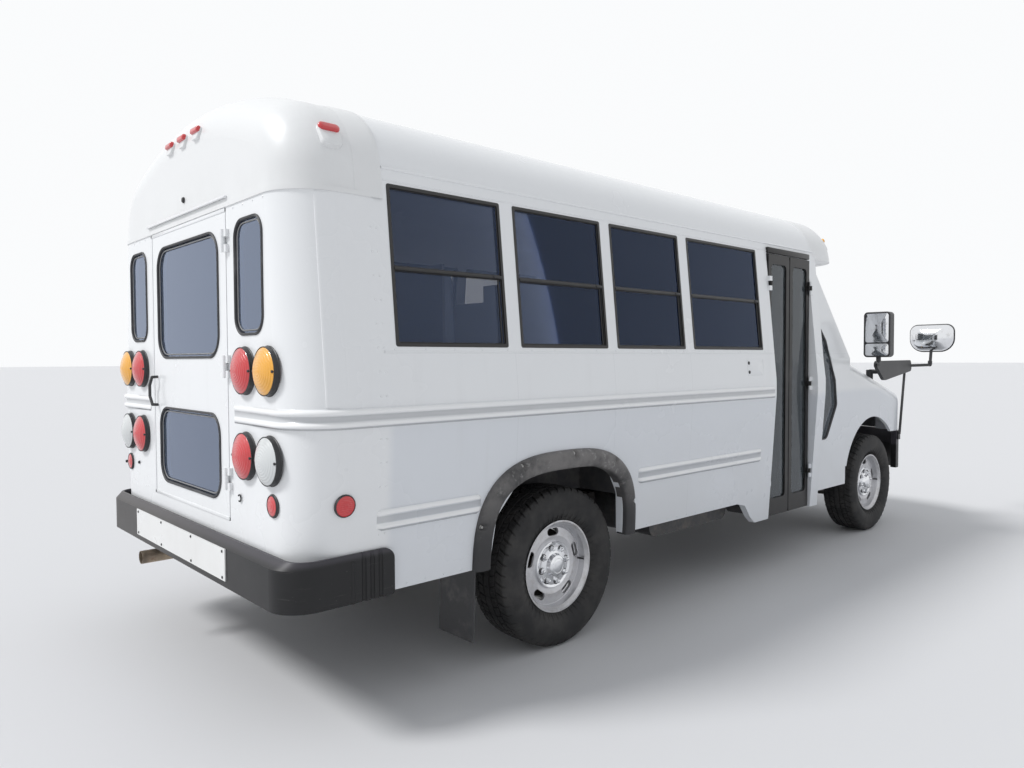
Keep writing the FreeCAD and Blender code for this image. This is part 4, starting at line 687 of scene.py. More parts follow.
def vinyl(name, colour):
    """Seat vinyl: leather-like pebble grain, soft wear and slight creases."""
    finish = Finish(name, IOR=1.45)
    grain = finish.cells(700.0)
    cloud = finish.noise(9.0, 5.0, 0.6)
    crease = finish.rise(abs(finish.noise(14.0, 5.0, 0.7, (1.0, 0.5, 1.0)) - 0.5), 0.014, 0.0)
    base = finish.mix(finish.rise(cloud, 0.35, 0.75) * 0.5, colour, shade(colour, 1.22))
    base = finish.mix(finish.rise(grain, 0.25, 0.7) * 0.35, base, shade(colour, 0.65))
    finish.feed(Base_Color=base, Roughness=0.42 + cloud * 0.16)
    return finish.bump(grain * -0.4 - crease * 0.5 + cloud * 0.4, 0.0009, 0.5).material


def ribbed_floor(name, colour):
    """Ribbed rubber floor: long ribs down the aisle, grit and scuffs between."""
    finish = Finish(name)
    y, z = finish.place()[2:]
    cloud = finish.noise(6.0, 6.0, 0.65)
    aisle = finish.rise(abs(y), 0.32, 0.31) * finish.rise(z, 0.60, 0.70)
    ribs = (y * (2 * math.pi / 0.012)).math("SINE") * aisle
    pips = finish.cells(160.0) * finish.rise(abs(y), 0.31, 0.32)
    base = finish.mix(finish.rise(cloud, 0.4, 0.75) * 0.55, colour, (0.20, 0.19, 0.175))
    base = finish.mix(finish.rise(ribs, 0.2, 0.9) * 0.3, base, shade(colour, 1.7))
    finish.feed(Base_Color=base, Roughness=0.60 + cloud * 0.2)
    return finish.bump(ribs * 0.6 - pips * 0.6, 0.0016, 0.7).material


def stained_pipe(name, colour):
    """Exhaust steel: tan and blue heat stains, rust specks and soot towards the tail."""
    finish = Finish(name, Metallic=0.75)
    x = finish.place()[1]
    cloud = finish.noise(11.0, 6.0, 0.7)
    speck = finish.noise(90.0, 4.0, 0.7)
    base = finish.mix(finish.rise(cloud, 0.35, 0.7), shade(colour, 0.8), (0.55, 0.45, 0.33))
    base = finish.mix(finish.rise(speck, 0.55, 0.7) * 0.6, base, (0.23, 0.10, 0.045))
    base = finish.mix(finish.rise(x, -2.97, -3.0) * 0.5, base, (0.10, 0.085, 0.07))
    finish.feed(Base_Color=base, Roughness=0.42 + cloud * 0.25)
    return finish.bump(speck, 0.0008, 0.5).material


def scuffed_bumper(name, colour):
    """Bumper enamel: long scuffs, chips and road film, with a painted highlight along the top lip and painted
    light across the rear face, strongest at its left end.
    """
    finish = Finish(name, Coat_Weight=0.05, Coat_Roughness=0.3, Specular_IOR_Level=0.35)
    x, y, z = finish.place()[1:]
    cloud = finish.noise(5.0, 5.0, 0.65)
    scuff = finish.rise(finish.noise(30.0, 4.0, 0.7, (0.2, 0.25, 3.0)), 0.60, 0.72)
    chips = finish.rise(finish.noise(120.0, 3.0, 0.6), 0.70, 0.76)
    base = finish.mix(finish.rise(cloud, 0.3, 0.75) * 0.5, colour, shade(colour, 1.7))
    base = finish.mix(scuff * 0.16, base, (0.15, 0.145, 0.14))
    base = finish.mix(chips * 0.3, base, (0.28, 0.27, 0.26))
    # Painted highlight: a purple-grey sheen along the top lip.
    base = finish.mix(finish.rise(z, 0.640, 0.660) * 0.25, base, (0.15, 0.14, 0.17))
    # Painted light: the rear face is lightened, most at its left end and fading towards the right.
    face = finish.rise(x, -2.935, -2.945) * finish.rise(y, -1.0, 0.6)
    base = finish.mix(face * 0.5, base, (0.10, 0.092, 0.088))
    finish.feed(Base_Color=base, Roughness=0.36 + cloud * 0.2 + scuff * 0.12)
    return finish.bump(cloud + scuff * 0.4 - chips * 0.5, 0.0012, 0.4).material


def worn_flare(name, colour):
    """Arch flare plastic: black turning grey-brown towards the top of the arch, with pale rubs."""
    finish = Finish(name)
    z = finish.place()[3]
    cloud = finish.noise(8.0, 5.0, 0.65)
    rub = finish.rise(finish.noise(22.0, 4.0, 0.7, (1.0, 0.4, 1.0)), 0.56, 0.74)
    high = finish.rise(z, 0.55, 0.90)
    base = finish.mix(high * finish.rise(cloud, 0.2, 0.65) * 0.85, colour, (0.20, 0.19, 0.185))
    base = finish.mix(rub * high * 0.5, base, (0.42, 0.41, 0.40))
    finish.feed(Base_Color=base, Roughness=0.46 + cloud * 0.18)
    return finish.bump(finish.cells(240.0) + cloud * 2.0, 0.0006, 0.45).material


def doors_paint(name, colour, edge_x):
    """Body paint whose pull, behind the door's face, is black."""
    finish, paint = Finish.of(painted_body(name, colour))
    x, y, z = finish.place()[1:]
    black = finish.rise(x, edge_x - 0.003, edge_x - 0.005) * finish.rise(y, 0.376, 0.380)
    black = black * finish.band(z, 1.145, 1.315, 0.002)
    finish.feed(Base_Color=finish.mix(black, paint, (0.03, 0.03, 0.032)))
    return finish.material


def rails_paint(name, colour):
    """Body paint with painted highlights on the ridges of the rub rails, and painted shade in their valleys
    and under the ridges.
    """
    finish, paint = Finish.of(painted_body(name, colour))
    z = finish.place()[3]
    # Painted highlight: the ridge tops of the rails are lightened.
    ridge_highlight = finish.band(z, 1.137, 1.151, 0.002) + finish.band(z, 1.181, 1.197, 0.002)
    ridge_highlight = ridge_highlight + finish.band(z, 0.744, 0.760, 0.002) + finish.band(z, 0.795, 0.812, 0.002)
    # Painted shade: grey lines under the ridges and in the valleys of the rails.
    lines = finish.band(z, 1.116, 1.133, 0.002) + finish.band(z, 1.154, 1.176, 0.003) * 0.7
    lines = lines + finish.band(z, 0.726, 0.741, 0.002) + finish.band(z, 0.762, 0.789, 0.003) * 0.7
    base = finish.mix(ridge_highlight, paint, (0.93, 0.93, 0.93))
    finish.feed(Base_Color=finish.mix(lines * 0.62, base, (0.25, 0.26, 0.28)))
    return finish.material


def marker_lenses(name, red, amber):
    """Lamps that share a node: amber on the front cap, clear at the nose, red elsewhere, with fine prisms."""
    finish = Finish(name, Coat_Weight=1.0, Coat_Roughness=0.03, Roughness=0.3)
    x, y, z = finish.place()[1:]
    prism = (z * 700.0).math("SINE") * (y * 700.0).math("SINE")
    base = finish.mix(finish.rise(x, 0.0, 0.1), red, amber)
    base = finish.mix(finish.rise(x, 2.0, 2.1), base, (0.62, 0.65, 0.68))
    base = finish.mix(finish.rise(prism, -0.2, 0.9) * 0.25, base, (0.9, 0.85, 0.85))
    finish.feed(Base_Color=base)
    return finish.bump(prism, 0.0006, 0.4).material


# Materials made so far by slot, and search trees of the frame's solids by node
FINISHES = {}
TREES = {}


def finish_for(slot):
    """Material of a slot, made once from the colours on the scene."""
    if slot in FINISHES:
        return FINISHES[slot]
    c = bpy.context.scene.bus_colours
    makers = {
        "frame_black": lambda n: road_metal(n, (0.035, 0.035, 0.038), rust=0.35),
        "cast_metal": lambda n: road_metal(n, (0.22, 0.22, 0.22), metallic=0.5, rust=0.3),
        "tank_metal": lambda n: road_metal(n, (0.05, 0.05, 0.052), rust=0.15, rough=0.45),
        "exhaust_steel": lambda n: stained_pipe(n, (0.42, 0.34, 0.27)),
        "axle_black": lambda n: road_metal(n, (0.06, 0.055, 0.05), rust=0.55),
        "floor_lining": lambda n: ribbed_floor(n, (0.06, 0.06, 0.065)),
        "body_white": lambda n: painted_body(n, tuple(c.body), seams=True),
        "cap_white": lambda n: moulded_resin(n, tuple(c.cap)),
        "window_frame_dark": lambda n: grained(n, tuple(c.frame), 0.36, 500.0, 0.1, 0.0002),
        "tinted_glass": lambda n: glass(n, tuple(c.tint), 0.62, 0.02, (0.60, 0.70, 0.95), 1.38),
        "grille_dark": lambda n: grained(n, (0.06, 0.06, 0.064), 0.5),
        "clear_glass": lambda n: glass(n, (0.16, 0.19, 0.20), 0.80, 0.10),
        "bumper_dark": lambda n: scuffed_bumper(n, (0.010, 0.010, 0.011)),
        "plate_white": lambda n: painted_body(n, (0.84, 0.84, 0.83)),
        "mirror_black": lambda n: grained(n, tuple(c.trim), 0.42, 300.0, 0.12),
        "seat_vinyl": lambda n: vinyl(n, tuple(c.seat)),
        "seat_frame_grey": lambda n: grained(n, (0.22, 0.225, 0.235), 0.4, 400.0, 0.2),
        "dash_grey": lambda n: grained(n, (0.13, 0.13, 0.135), 0.6, 320.0, 0.05),
        "lamp_lenses": lambda n: marker_lenses(n, tuple(c.red), tuple(c.amber)),
        "trim_black": lambda n: worn_flare(n, tuple(c.trim)),
        "rail_white": lambda n: rails_paint(n, tuple(c.body)),
        "door_frame_dark": lambda n: grained(n, tuple(c.frame), 0.34, 500.0, 0.1, 0.0002, 0.35),
        "tyre": lambda n: rubber(n, (0.022, 0.022, 0.023)),
        "rim_silver": lambda n: silver_wheel(n, tuple(c.rim)),
        "rear_door_paint": lambda n: doors_paint(n, tuple(c.body), (REAR_X - MIDDLE) * 0.001),
        "gasket": lambda n: grained(n, (0.045, 0.045, 0.048), 0.55, 280.0, 0.35, 0.0004),
        "chrome": chrome,
        "red_lens": lambda n: lens(n, tuple(c.red), 0.10),
        "amber_lens": lambda n: lens(n, tuple(c.amber), 0.14),
        "clear_lens": lambda n: lens(n, (0.66, 0.68, 0.68), 0.3),
        "black_plastic": lambda n: grained(n, (0.025, 0.025, 0.027), 0.45, 260.0, 0.12),
        "mirror_face": chrome,
        "piping": lambda n: grained(n, shade(tuple(c.seat), 0.45), 0.5, 500.0, 0.1),
        "lamp_glass": lambda n: glass(n, (0.75, 0.78, 0.80), 0.82, 0.05),
        "pale_rubber": lambda n: grained(n, (0.22, 0.22, 0.22), 0.5, 300.0, 0.2, 0.0003),
        "zinc": lambda n: road_metal(n, (0.45, 0.45, 0.44), metallic=0.85, rust=0.15, rough=0.35),
    }
    FINISHES[slot] = makers[slot](slot)
    return FINISHES[slot]


# Pieces, each with the formula of its shape
def tyre_shape(x, side, depth):
    """Tyre: radius(angle, across) = profile less grooves; four rings, and cross grooves that lean."""
    ring_edges = np.array([[c - 4.6, c - 3.6, c + 3.6, c + 4.6] for c in (-58.0, -20.0, 20.0, 58.0)]).ravel()
    across = np.concatenate([[-96.0], ring_edges, [96.0]])
    tread = WHEEL_R - 0.3 - 5.0 * (np.abs(across) / 96.0) ** 2.4
    in_ring = (np.abs(np.abs(np.abs(across) - 39.0) - 19.0) < 4.0).astype(float)
    wall_t, wall_r = TYRE_WALL.T
    rows_t = np.concatenate([-wall_t[::-1], across, wall_t])
    rows_r = np.concatenate([wall_r[::-1], tread, wall_r])
    ring = np.pad(in_ring, len(wall_t))
    size = np.abs(rows_t)
    share = np.array([0.0, 0.035, 0.165, 0.2, 0.55, 0.562, 0.585, 0.597])
    marks = ([0, 1, 1, 0, 0, 0, 0, 0], [0, 0, 0, 0, 0, 1, 1, 0], [0, 0, 0, 1, 1, 0, 0, 0])
    wide, sipe, notch = (np.tile(np.array(row, float), PITCHES)[:, None] for row in marks)
    lean = np.interp(size, [0, 16, 24, 54, 62, 110], [0.25, 0.25, 0.72, 0.5, 0.0, 0.42])
    angle = (np.arange(PITCHES)[:, None] + share[None]).ravel()[:, None] + lean[None]
    wide_cut = wide * np.interp(size, [0, 15, 16, 24, 54, 62, 106, 112],
                                [0, 0, 0, 0.75, 0.75, 0.9, 0.8, 0.0])[None]
    sipe_cut = sipe * np.interp(size, [0, 95, 101], [0.45, 0.45, 0.0])[None]
    cut = np.maximum(np.maximum(ring[None] * (size < 99)[None], wide_cut), sipe_cut) * depth
    scallop = notch * np.isclose(size, 110.5)[None] * 1.6
    radius = rows_r[None] - cut
    turn = angle * 2 * math.pi / PITCHES
    y = side * (WHEEL_Y + rows_t[None] + scallop * np.sign(rows_t)) + 0 * turn
    points = np.stack([x + radius * np.cos(turn), y, WHEEL_R + radius * np.sin(turn)], -1)
    return grid(points, wrap_u=True, wrap_v=True)


def wheel_trim_shape(x, side):
    """Bright centre cap: revolved profile. Eight nuts: six-sided revolved profiles on an 82.5 mm circle."""
    out = np.array([0.0, side, 0.0])
    hub = np.array([x, side * WHEEL_Y, WHEEL_R])
    profile = [(114, 47.5), (113.4, 52), (112.6, 58), (109, 61.5), (104, 61), (99.5, 58.6), (93, 57.4),
               (63, 63.2), (57, 64.6), (53.4, 72), (49, 83.6), (44, 86.6), (36, 88.6), (34, 87.6),
               (30, 89.4), (14, 91.2), (0, 91.6)]
    cap = lathe(profile, hub, out, 72)
    angle = np.arange(8) * math.pi / 4 + 0.2
    spots = np.stack([82.5 * np.cos(angle), np.zeros(8), 82.5 * np.sin(angle)], 1)
    nut = lathe([(12.5, 58), (12.5, 70), (11, 73), (9, 73.5)], hub, out, 6)
    head = lathe([(9, 73), (8.6, 76), (6.5, 79.5), (3, 81), (0, 81.4)], hub, out, 16)
    pocket = lathe([(17.2, 58.8), (16.8, 61.4), (14.2, 61.4), (13.6, 58.6)], hub, out, 20)
    bends = ((178, 50), (181, 66), (186, 84))
    stem = tube([(x + along, side * (WHEEL_Y + reach), WHEEL_R) for along, reach in bends], 5.0, 10)
    bright = joined([cap, repeated(nut, spots), repeated(head, spots)])
    return bright, repeated(pocket, spots), stem


def lens_shape(y, z, radius, depth, ribs, axis=REARWARD, x=REAR_X):
    """Round lens: height = ball cap over the rim + a fine wave whose crests are the moulded rings."""
    rise = depth * 0.6
    ball = (radius * radius + rise * rise) / (2 * rise)
    r = np.linspace(radius - 0.4, 0.0, ribs * 6 + 1)
    wave = 0.55 * (1 - np.cos(r / radius * ribs * 2 * math.pi))
    height = depth - ball + np.sqrt(ball * ball - r * r) + 0.9 + wave
    return lathe(np.column_stack([r, height]), (x, y, z), axis, 56)


def gasket_shape(line, width, height, place, out, deep=5.0):
    """Rubber strip: a half-round section with a groove, and a lip down to the pane, round a closed line."""
    turn = np.linspace(0, math.pi, 9)
    groove = np.array([1, 1, 1, 1, 0.72, 1, 1, 1, 1.0])
    section = np.column_stack([-np.cos(turn) * width / 2, np.sin(turn) ** 0.7 * height * groove])
    section = np.concatenate([section, [[width / 2, -0.4], [0.5, -0.4], [0.5, -deep], [-width / 2, -deep]]])
    return swept(place(line), section, out, closed=True)


def arch_line(count):
    """Arch in even steps: x = -60 + 532 c, z = 485 + 467 s, with |c|^2.9 + |s|^2.9 = 1."""
    turn = np.linspace(math.pi, 0, 400)
    x = -60 + 532 * np.sign(np.cos(turn)) * np.abs(np.cos(turn)) ** (2 / 2.9)
    z = 485 + 467 * np.abs(np.sin(turn)) ** (2 / 2.9)
    line = np.column_stack([x, z])
    length = distances(line)
    even = np.linspace(0, length[-1], count)
    return np.column_stack([np.interp(even, length, line[:, i]) for i in range(2)])


def flare_shape(side):
    """Arch flare: proud(along, in) = rolled edge profile less a pocket near five places on the outer edge."""
    line = arch_line(300)
    share = np.linspace(0, 1, 300)
    inset, proud = FLARE_PROFILE.T
    near = np.min([np.abs(share - p) for p in POCKETS], axis=0) * 1760.0
    pocket = 1 / (1 + np.exp((near - 13.0) / 1.6))
    reach = np.interp(inset, [-3, 0, 4, 22, 30, 90], [0.0, 0.6, 1.0, 1.0, 0.0, 0.0])
    reach[-3:] = 0
    proud = proud[None] - pocket[:, None] * reach[None] * np.maximum(proud - 7.0, 0)[None]
    plan = line[:, None] - sideways(line)[:, None] * inset[None, :, None]
    y = wall_half(line[:, 1])[:, None] + proud
    points = np.stack([plan[..., 0], side * y, plan[..., 1]], -1)
    return grid(closed_ends(points), wrap_v=True)


def flare_bolts(side):
    """Bolt heads in the pockets: flanged six-sided heads on the flare's outer edge."""
    line = arch_line(300)
    rows = [int(p * 299) for p in POCKETS]
    spots = line[rows] - sideways(line)[rows] * 17.0
    out = (0.0, float(side), 0.0)
    parts = []
    for x, z in spots:
        foot = (x, side * (float(wall_half(z)) + 7.0), z)
        parts.append(lathe([(9.5, 0), (9.5, 2.5), (6.4, 3.0)], foot, out, 18))
        parts.append(lathe([(6.4, 2.6), (6.4, 8), (5.4, 9), (0, 9)], foot, out, 6))
    return joined(parts)


def flap_shape(side):
    """Mud flap: a sheet 8 mm thick whose foot bows back by 14 mm times the square of the depth."""
    y = np.linspace(742, 985, 12)
    z = np.linspace(160, 690, 24)
    bow = 14.0 * ((690 - z) / 530) ** 2
    ribs = 1.6 * np.cos(np.arange(12) * math.pi)
    x = -536 - bow[:, None] + ribs[None]
    front = np.stack([x, np.broadcast_to(y[None] * side, x.shape), np.broadcast_to(z[:, None], x.shape)], -1)
    back = front - np.array([8.0, 0, 0])
    return grid(closed_ends(np.concatenate([front, back[:, ::-1]], 1)), wrap_v=True)


def belt_rail(side, front):
    """Belt rail: two rounded ridges with a flat valley, carried along the side and round to the door."""
    corners = [(front, BELT_HALF), (REAR_X, BELT_HALF), (REAR_X, 515.0)]
    path = rounded(corners, CORNER_R, 14, closed=False)
    straight = np.column_stack([np.linspace(front, path[1, 0], 40)[:-1], np.full(39, BELT_HALF)])
    path = np.concatenate([straight, path[1:]])
    z, proud = BELT_PROFILE.T
    length = distances(path)
    ends = np.clip(np.minimum(length, length[-1] - length) / 12.0, 0.12, 1.0)
    raised = np.maximum(proud, 0)[None] * ends[:, None] + np.minimum(proud, 0)[None]
    plan = path[:, None] - sideways(path)[:, None] * raised[..., None]
    return grid(np.stack([plan[..., 0], side * plan[..., 1], np.broadcast_to(z[None], raised.shape)], -1))


def lower_rail(side, x_rear, x_front):
    """Lower rail: two ridges with a valley, whose ends slope down and pinch together by 12 mm."""
    x = np.concatenate([[x_rear, x_rear + 8, x_rear + 22], np.linspace(x_rear + 60, x_front - 60, 16),
                        [x_front - 22, x_front - 8, x_front]])
    ends = np.clip(np.minimum(x - x_rear, x_front - x) / 22.0, 0.0, 1.0)
    z, proud = LOWER_PROFILE.T
    raised = np.maximum(proud, 0)[None] * ends[:, None] ** 0.6 + np.minimum(proud, 0)[None]
    height = 773 + (z - 773)[None] * (0.72 + 0.28 * ends[:, None])
    y = wall_half(height) + raised
    return grid(np.stack([np.broadcast_to(x[:, None], raised.shape), side * y, height], -1))


def rivet_rows(radius, step):
    """Rivet heads: low domes at even steps along lines on the side and rear walls."""
    radius, step = radius * 1000, step * 1000
    dome = np.array([(1.0, 0.0), (0.86, 0.32), (0.5, 0.55), (0.0, 0.62)]) * radius
    spots = []
    for x in (SEAM_X - 13, SEAM_X + 13):
        for z in (np.arange(540, 1110, step), np.arange(1240, 1960, step)):
            spots.append(np.column_stack([np.full(len(z), x), z]))
    spots.append(level_row(np.arange(SEAM_X + 60, 1800, step * 1.6), 1415.0))
    low = np.concatenate([np.arange(SEAM_X + 30, -620, step), np.arange(500, 1470, step)])
    spots.append(level_row(low, 506.0))
    spots = np.concatenate(spots)
    high = spots[:, 1] > 1180
    side = joined([repeated(lathe(dome, (0, 0, 0), out, 8), on_wall(spots[chosen]))
                   for out, chosen in ((SKIRT_OUT, ~high), (WALL_OUT, high))])
    y = np.arange(-800, 801, step)
    rear = np.concatenate([level_row(y, 1972.0), level_row(y, 2000.0)])
    return joined([both(side), repeated(lathe(dome, (0, 0, 0), REARWARD, 8), on_rear(rear))])


def plate(line, place, proud, thick, soft=1.5, shares=(0.0,)):
    """Flat piece with softened edges: rows of its outline moved in and out, then drawn in to the middle."""
    line = np.asarray(line, float)
    inward = sideways(line, True)
    middle = line.mean(0)
    rows = [place(np.broadcast_to(middle, line.shape), proud - thick)]
    edge = ((0.0, proud - thick), (0.0, proud - soft), (0.3 * soft, proud - 0.3 * soft), (soft, proud))
    rows += [place(line + inward * inset, out) for inset, out in edge]
    rows += [place(middle + (line + inward * soft - middle) * share, proud) for share in shares]
    return grid(np.stack(rows), wrap_v=True)


def on_nose(line, proud=0.0):
    """End-view line (y, z) laid on the bowed nose: x = centre + root of radius squared less y squared."""
    line = np.asarray(line, float)
    return np.column_stack([NOSE_CENTRE_X + np.sqrt(NOSE_R ** 2 - line[:, 0] ** 2) + proud, line])


def on_cab(line, proud=0.0):
    """Side-view line (x, z) laid on the left cab side: upright to the screen's foot, then leaning in."""
    line = np.asarray(line, float)
    lean = np.clip((line[:, 1] - SCREEN_FOOT_Z) / (SCREEN_HEAD_Z - SCREEN_FOOT_Z), 0, 1) * 123.0
    return np.column_stack([line[:, 0], CAB_HALF - lean + proud, line[:, 1]])


def on_screen(y, share, proud=0.0):
    """Point of the windscreen: its foot arc and head arc, joined by straight lines; share 0 is the foot."""
    y, share = np.broadcast_arrays(np.asarray(y, float), np.asarray(share, float))
    across = y / SCREEN_FOOT_HALF
    foot = np.stack([3240.0 - 128.0 * across ** 2, y, np.full(y.shape, SCREEN_FOOT_Z)], -1)
    head = np.stack([2860.0 - 108.0 * across ** 2, y * SCREEN_HEAD_HALF / SCREEN_FOOT_HALF,
                     np.full(y.shape, SCREEN_HEAD_Z)], -1)
    out = unit(np.stack([np.full(y.shape, 0.876), across * 0.24, np.full(y.shape, 0.482)], -1))
    return foot + (head - foot) * share[..., None] + out * proud


def touch(node, start, toward):
    """Where a ray from a point meets a solid of the frame, in millimetres, with the direction out of it."""
    tree = TREES.get(node)
    if tree is None:
        data = frame["nodes"][node].data
        tree = TREES[node] = BVHTree.FromPolygons([v.co[:] for v in data.vertices],
                                                  [p.vertices[:] for p in data.polygons])
    spot, normal = tree.ray_cast(Vector(metres(start).tolist()), Vector(toward).normalized())[:2]
    return np.array(spot) * 1000.0 + np.array([MIDDLE, 0, 0]), np.array(normal)


def facing(part, spot, normal):
    """A piece drawn flat, with x across, y along and z out, laid at a spot with its z along the normal."""
    points, faces = part
    out = unit(normal)
    across = unit(np.cross(UPWARD, out))
    along = np.cross(out, across)
    return points @ np.stack([across, along, out]) + spot, faces


def rear_lamps(ribs):
    """Round lamps: ringed lenses by colour, their housings with a lip, and two screws on each large lens."""
    lenses, housings, screws = {"red": [], "amber": [], "clear": []}, [], []
    for y, z, radius, depth, colour in LAMPS:
        large = radius > 50
        lenses[colour].append(lens_shape(y, z, radius, depth, ribs if large else 3))
        edge = depth * 0.4
        profile = [(radius + 5, 0), (radius + 5.4, 2.5), (radius + 2.4, 5), (radius + 1.6, edge),
                   (radius + 1.8, edge + 3.4), (radius - 0.6, edge + 4.4), (radius - 2.6, edge + 2.0)]
        housings.append(lathe(profile, (REAR_X, y, z), REARWARD, 56))
        if large:
            profile = [(5.2, 20), (5.2, 27.4), (4.2, 28.6), (1.2, 28.8), (0, 27.6)]
            screws += [lathe(profile, (REAR_X, y + across, z), REARWARD, 14) for across in (-81.0, 81.0)]
    x, z = -1205.0, 848.0
    y = float(wall_half(z))
    lenses["red"].append(lens_shape(y, z, 39.0, 12.0, 3, SKIRT_OUT, x))
    profile = [(42.5, -2), (42.5, 2.5), (40.6, 7.2), (38.6, 7.6), (37.0, 5.0)]
    housings.append(lathe(profile, (x, y, z), SKIRT_OUT, 48))
    lenses = {name: both(joined(parts)) for name, parts in lenses.items()}
    return lenses, both(joined(housings)), both(joined(screws))


def marker_lamps():
    """Small marker lamps: tapered bases with oval lenses, over the door and at the corners of the caps."""
    bases, red, amber = [], [], []
    for y in (-160.0, 0.0, 160.0):
        spot, normal = touch("rear_cap", (REAR_X - 60, y, 2342.0), (1, 0, 0))
        base = rounded([(-27, -32), (27, -32), (45, 20), (-45, 20)], 8, 4)
        cover = rounded([(-37, -4), (37, -4), (46, 22), (-46, 22)], 9, 4)
        bases.append(facing(plate(base, flat, 10, 16, 4), spot, normal))
        red.append(facing(plate(cover, flat, 21, 14, 7, (0.7, 0.0)), spot, normal))
    for node, start, lens in (("rear_cap", (-1195.0, 1400.0, 2480.0), red),
                              ("front_cap", (2865.0, 1300.0, 2560.0), amber)):
        aim = np.array([start[0], 640.0, 2050.0]) - np.array(start)
        spot, normal = touch(node, start, aim)
        base = rounded([(-40, -82), (40, -82), (46, 22), (-46, 22)], 26, 6)
        cover = rectangle((-43, 43), (-17, 17), 16.5, 8)
        bases.append(both(facing(plate(base, flat, 9, 26, 6), spot, normal)))
        lens.append(both(facing(plate(cover, flat, 21, 14, 8, (0.7, 0.35, 0.0)), spot, normal)))
    return joined(bases), joined(red), joined(amber)


def head_lamps():
    """Head lamps on the nose's bow: bowl, bulb, cover and bezel, and an amber turn lamp beside."""
    line = rectangle((472.0, 743.0), (852.0, 1013.0), 20, 6)
    main = rectangle((474.0, 672.0), (854.0, 1011.0), 18, 6)
    turn = rectangle((678.0, 741.0), (854.0, 1011.0), 18, 6)
    middle = np.array([573.0, 932.0])
    shares = (1.0, 0.92, 0.8, 0.65, 0.48, 0.3, 0.15, 0.0)
    rows = [on_nose(middle + (main - middle) * share, -8 - 26 * (1 - share ** 2)) for share in shares]
    bowl = grid(np.stack(rows), wrap_v=True, flip=True)
    cover = plate(main, on_nose, 3.0, 6.0, 2.0, (0.8, 0.6, 0.4, 0.2, 0.0))
    amber = plate(turn, on_nose, 3.0, 30.0, 2.0, (0.6, 0.3, 0.0))
    bulb = lathe([(17, 0), (17, 12), (14, 18), (8, 21), (0, 22)], (4244.0, *middle), (1.0, 0.25, 0.0), 24)
    inward = sideways(line, True)
    rows = [(-1.0, -36), (-1.0, 1.5), (-4.0, 5.0), (-1.0, 7.5), (3.0, 6.5), (4.0, 2.0), (4.0, -10)]
    bezel = grid(np.stack([on_nose(line + inward * inset, out) for inset, out in rows]), wrap_v=True)
    return [both(part) for part in (cover, joined([bowl, bulb]), amber, bezel)]


def glazing_rubbers(width):
    """Rubbers of the rear panes, the quarter pane and the windscreen, each carried round its opening."""
    fixed, door = [[gasket_shape(rectangle(y, z, radius, 10), width, 6.5, on_rear, REARWARD)
                    for y, z, radius in panes] for panes in (REAR_PANES, DOOR_PANES)]
    fixed = [both(joined(fixed))]
    quarter = rounded(QUARTER[::-1], [30, 60, 60, 60, 60, 14, 12], 6)
    fixed.append(other_side(gasket_shape(quarter, width * 0.9, 5.5, on_cab, (0.0, 1.0, 0.0), 12.0)))
    y = np.linspace(-905.0, 905.0, 60)
    share = np.linspace(0.02, 0.98, 30)
    round_y = np.concatenate([y, np.full(30, 912.0), y[::-1], np.full(30, -912.0)])
    rows = [np.full(60, 0.012), share, np.full(60, 0.988), share[::-1]]
    path = on_screen(round_y, np.concatenate(rows))
    normal = on_screen(round_y, 0.0, 1.0) - on_screen(round_y, 0.0)
    turn = np.linspace(0, math.pi, 7)
    section = np.column_stack([-np.cos(turn) * 15, np.sin(turn) * 6 + 0.5])
    section = np.concatenate([section, [[15, -3.0], [-15, -3.0]]])
    fixed.append(swept(path, section, normal, closed=True))
    return joined(fixed), joined(door)


def pane_lips():
    """Paler inner lip of the rear rubbers: a thin raised bead inside each one."""
    section = circle(3.2, 8) * np.array([1.0, 0.8])
    fixed, door = [], []
    for group, panes in ((fixed, REAR_PANES), (door, DOOR_PANES)):
        for y, z, radius in panes:
            line = rectangle((y[0] + 15, y[1] - 15), (z[0] + 15, z[1] - 15), radius - 15, 10)
            group.append(swept(on_rear(line, -4.0), section, REARWARD, closed=True))
    return both(joined(fixed)), joined(door)


def window_details():
    """Side windows: glazing beads round each sash, a rounded meeting bar, an upright bead and a latch."""
    beads, latches = [], []
    for low, high in WINDOWS:
        for z in ((SILL_Z + 14, SASH_Z - 7), (SASH_Z + 7, HEAD_Z - 14)):
            line = rectangle((low + 16, high - 16), (z[0] + 2, z[1] - 2), 4, 2)
            beads.append(swept(on_wall(line, -6.0), circle(2.6, 8), WALL_OUT, closed=True))
        bar = level_row(np.linspace(low + 14, high - 14, 14), SASH_Z)
        beads.append(swept(on_wall(bar, 1.0), circle(1.0, 12) * np.array([7.6, 4.2]), WALL_OUT))
        upright = np.column_stack([np.full(14, high - 30.0), np.linspace(SILL_Z + 14, SASH_Z - 7, 14)])
        beads.append(swept(on_wall(upright, -5.0), circle(3.4, 8), WALL_OUT))
        spot = on_wall([(high - 44.0, SASH_Z + 1)], 5.0)[0]
        latches.append(facing(plate(rectangle((-19, 19), (-6, 6), 5, 3), flat, 4, 9, 2), spot, WALL_OUT))
    return both(joined(beads)), both(joined(latches))


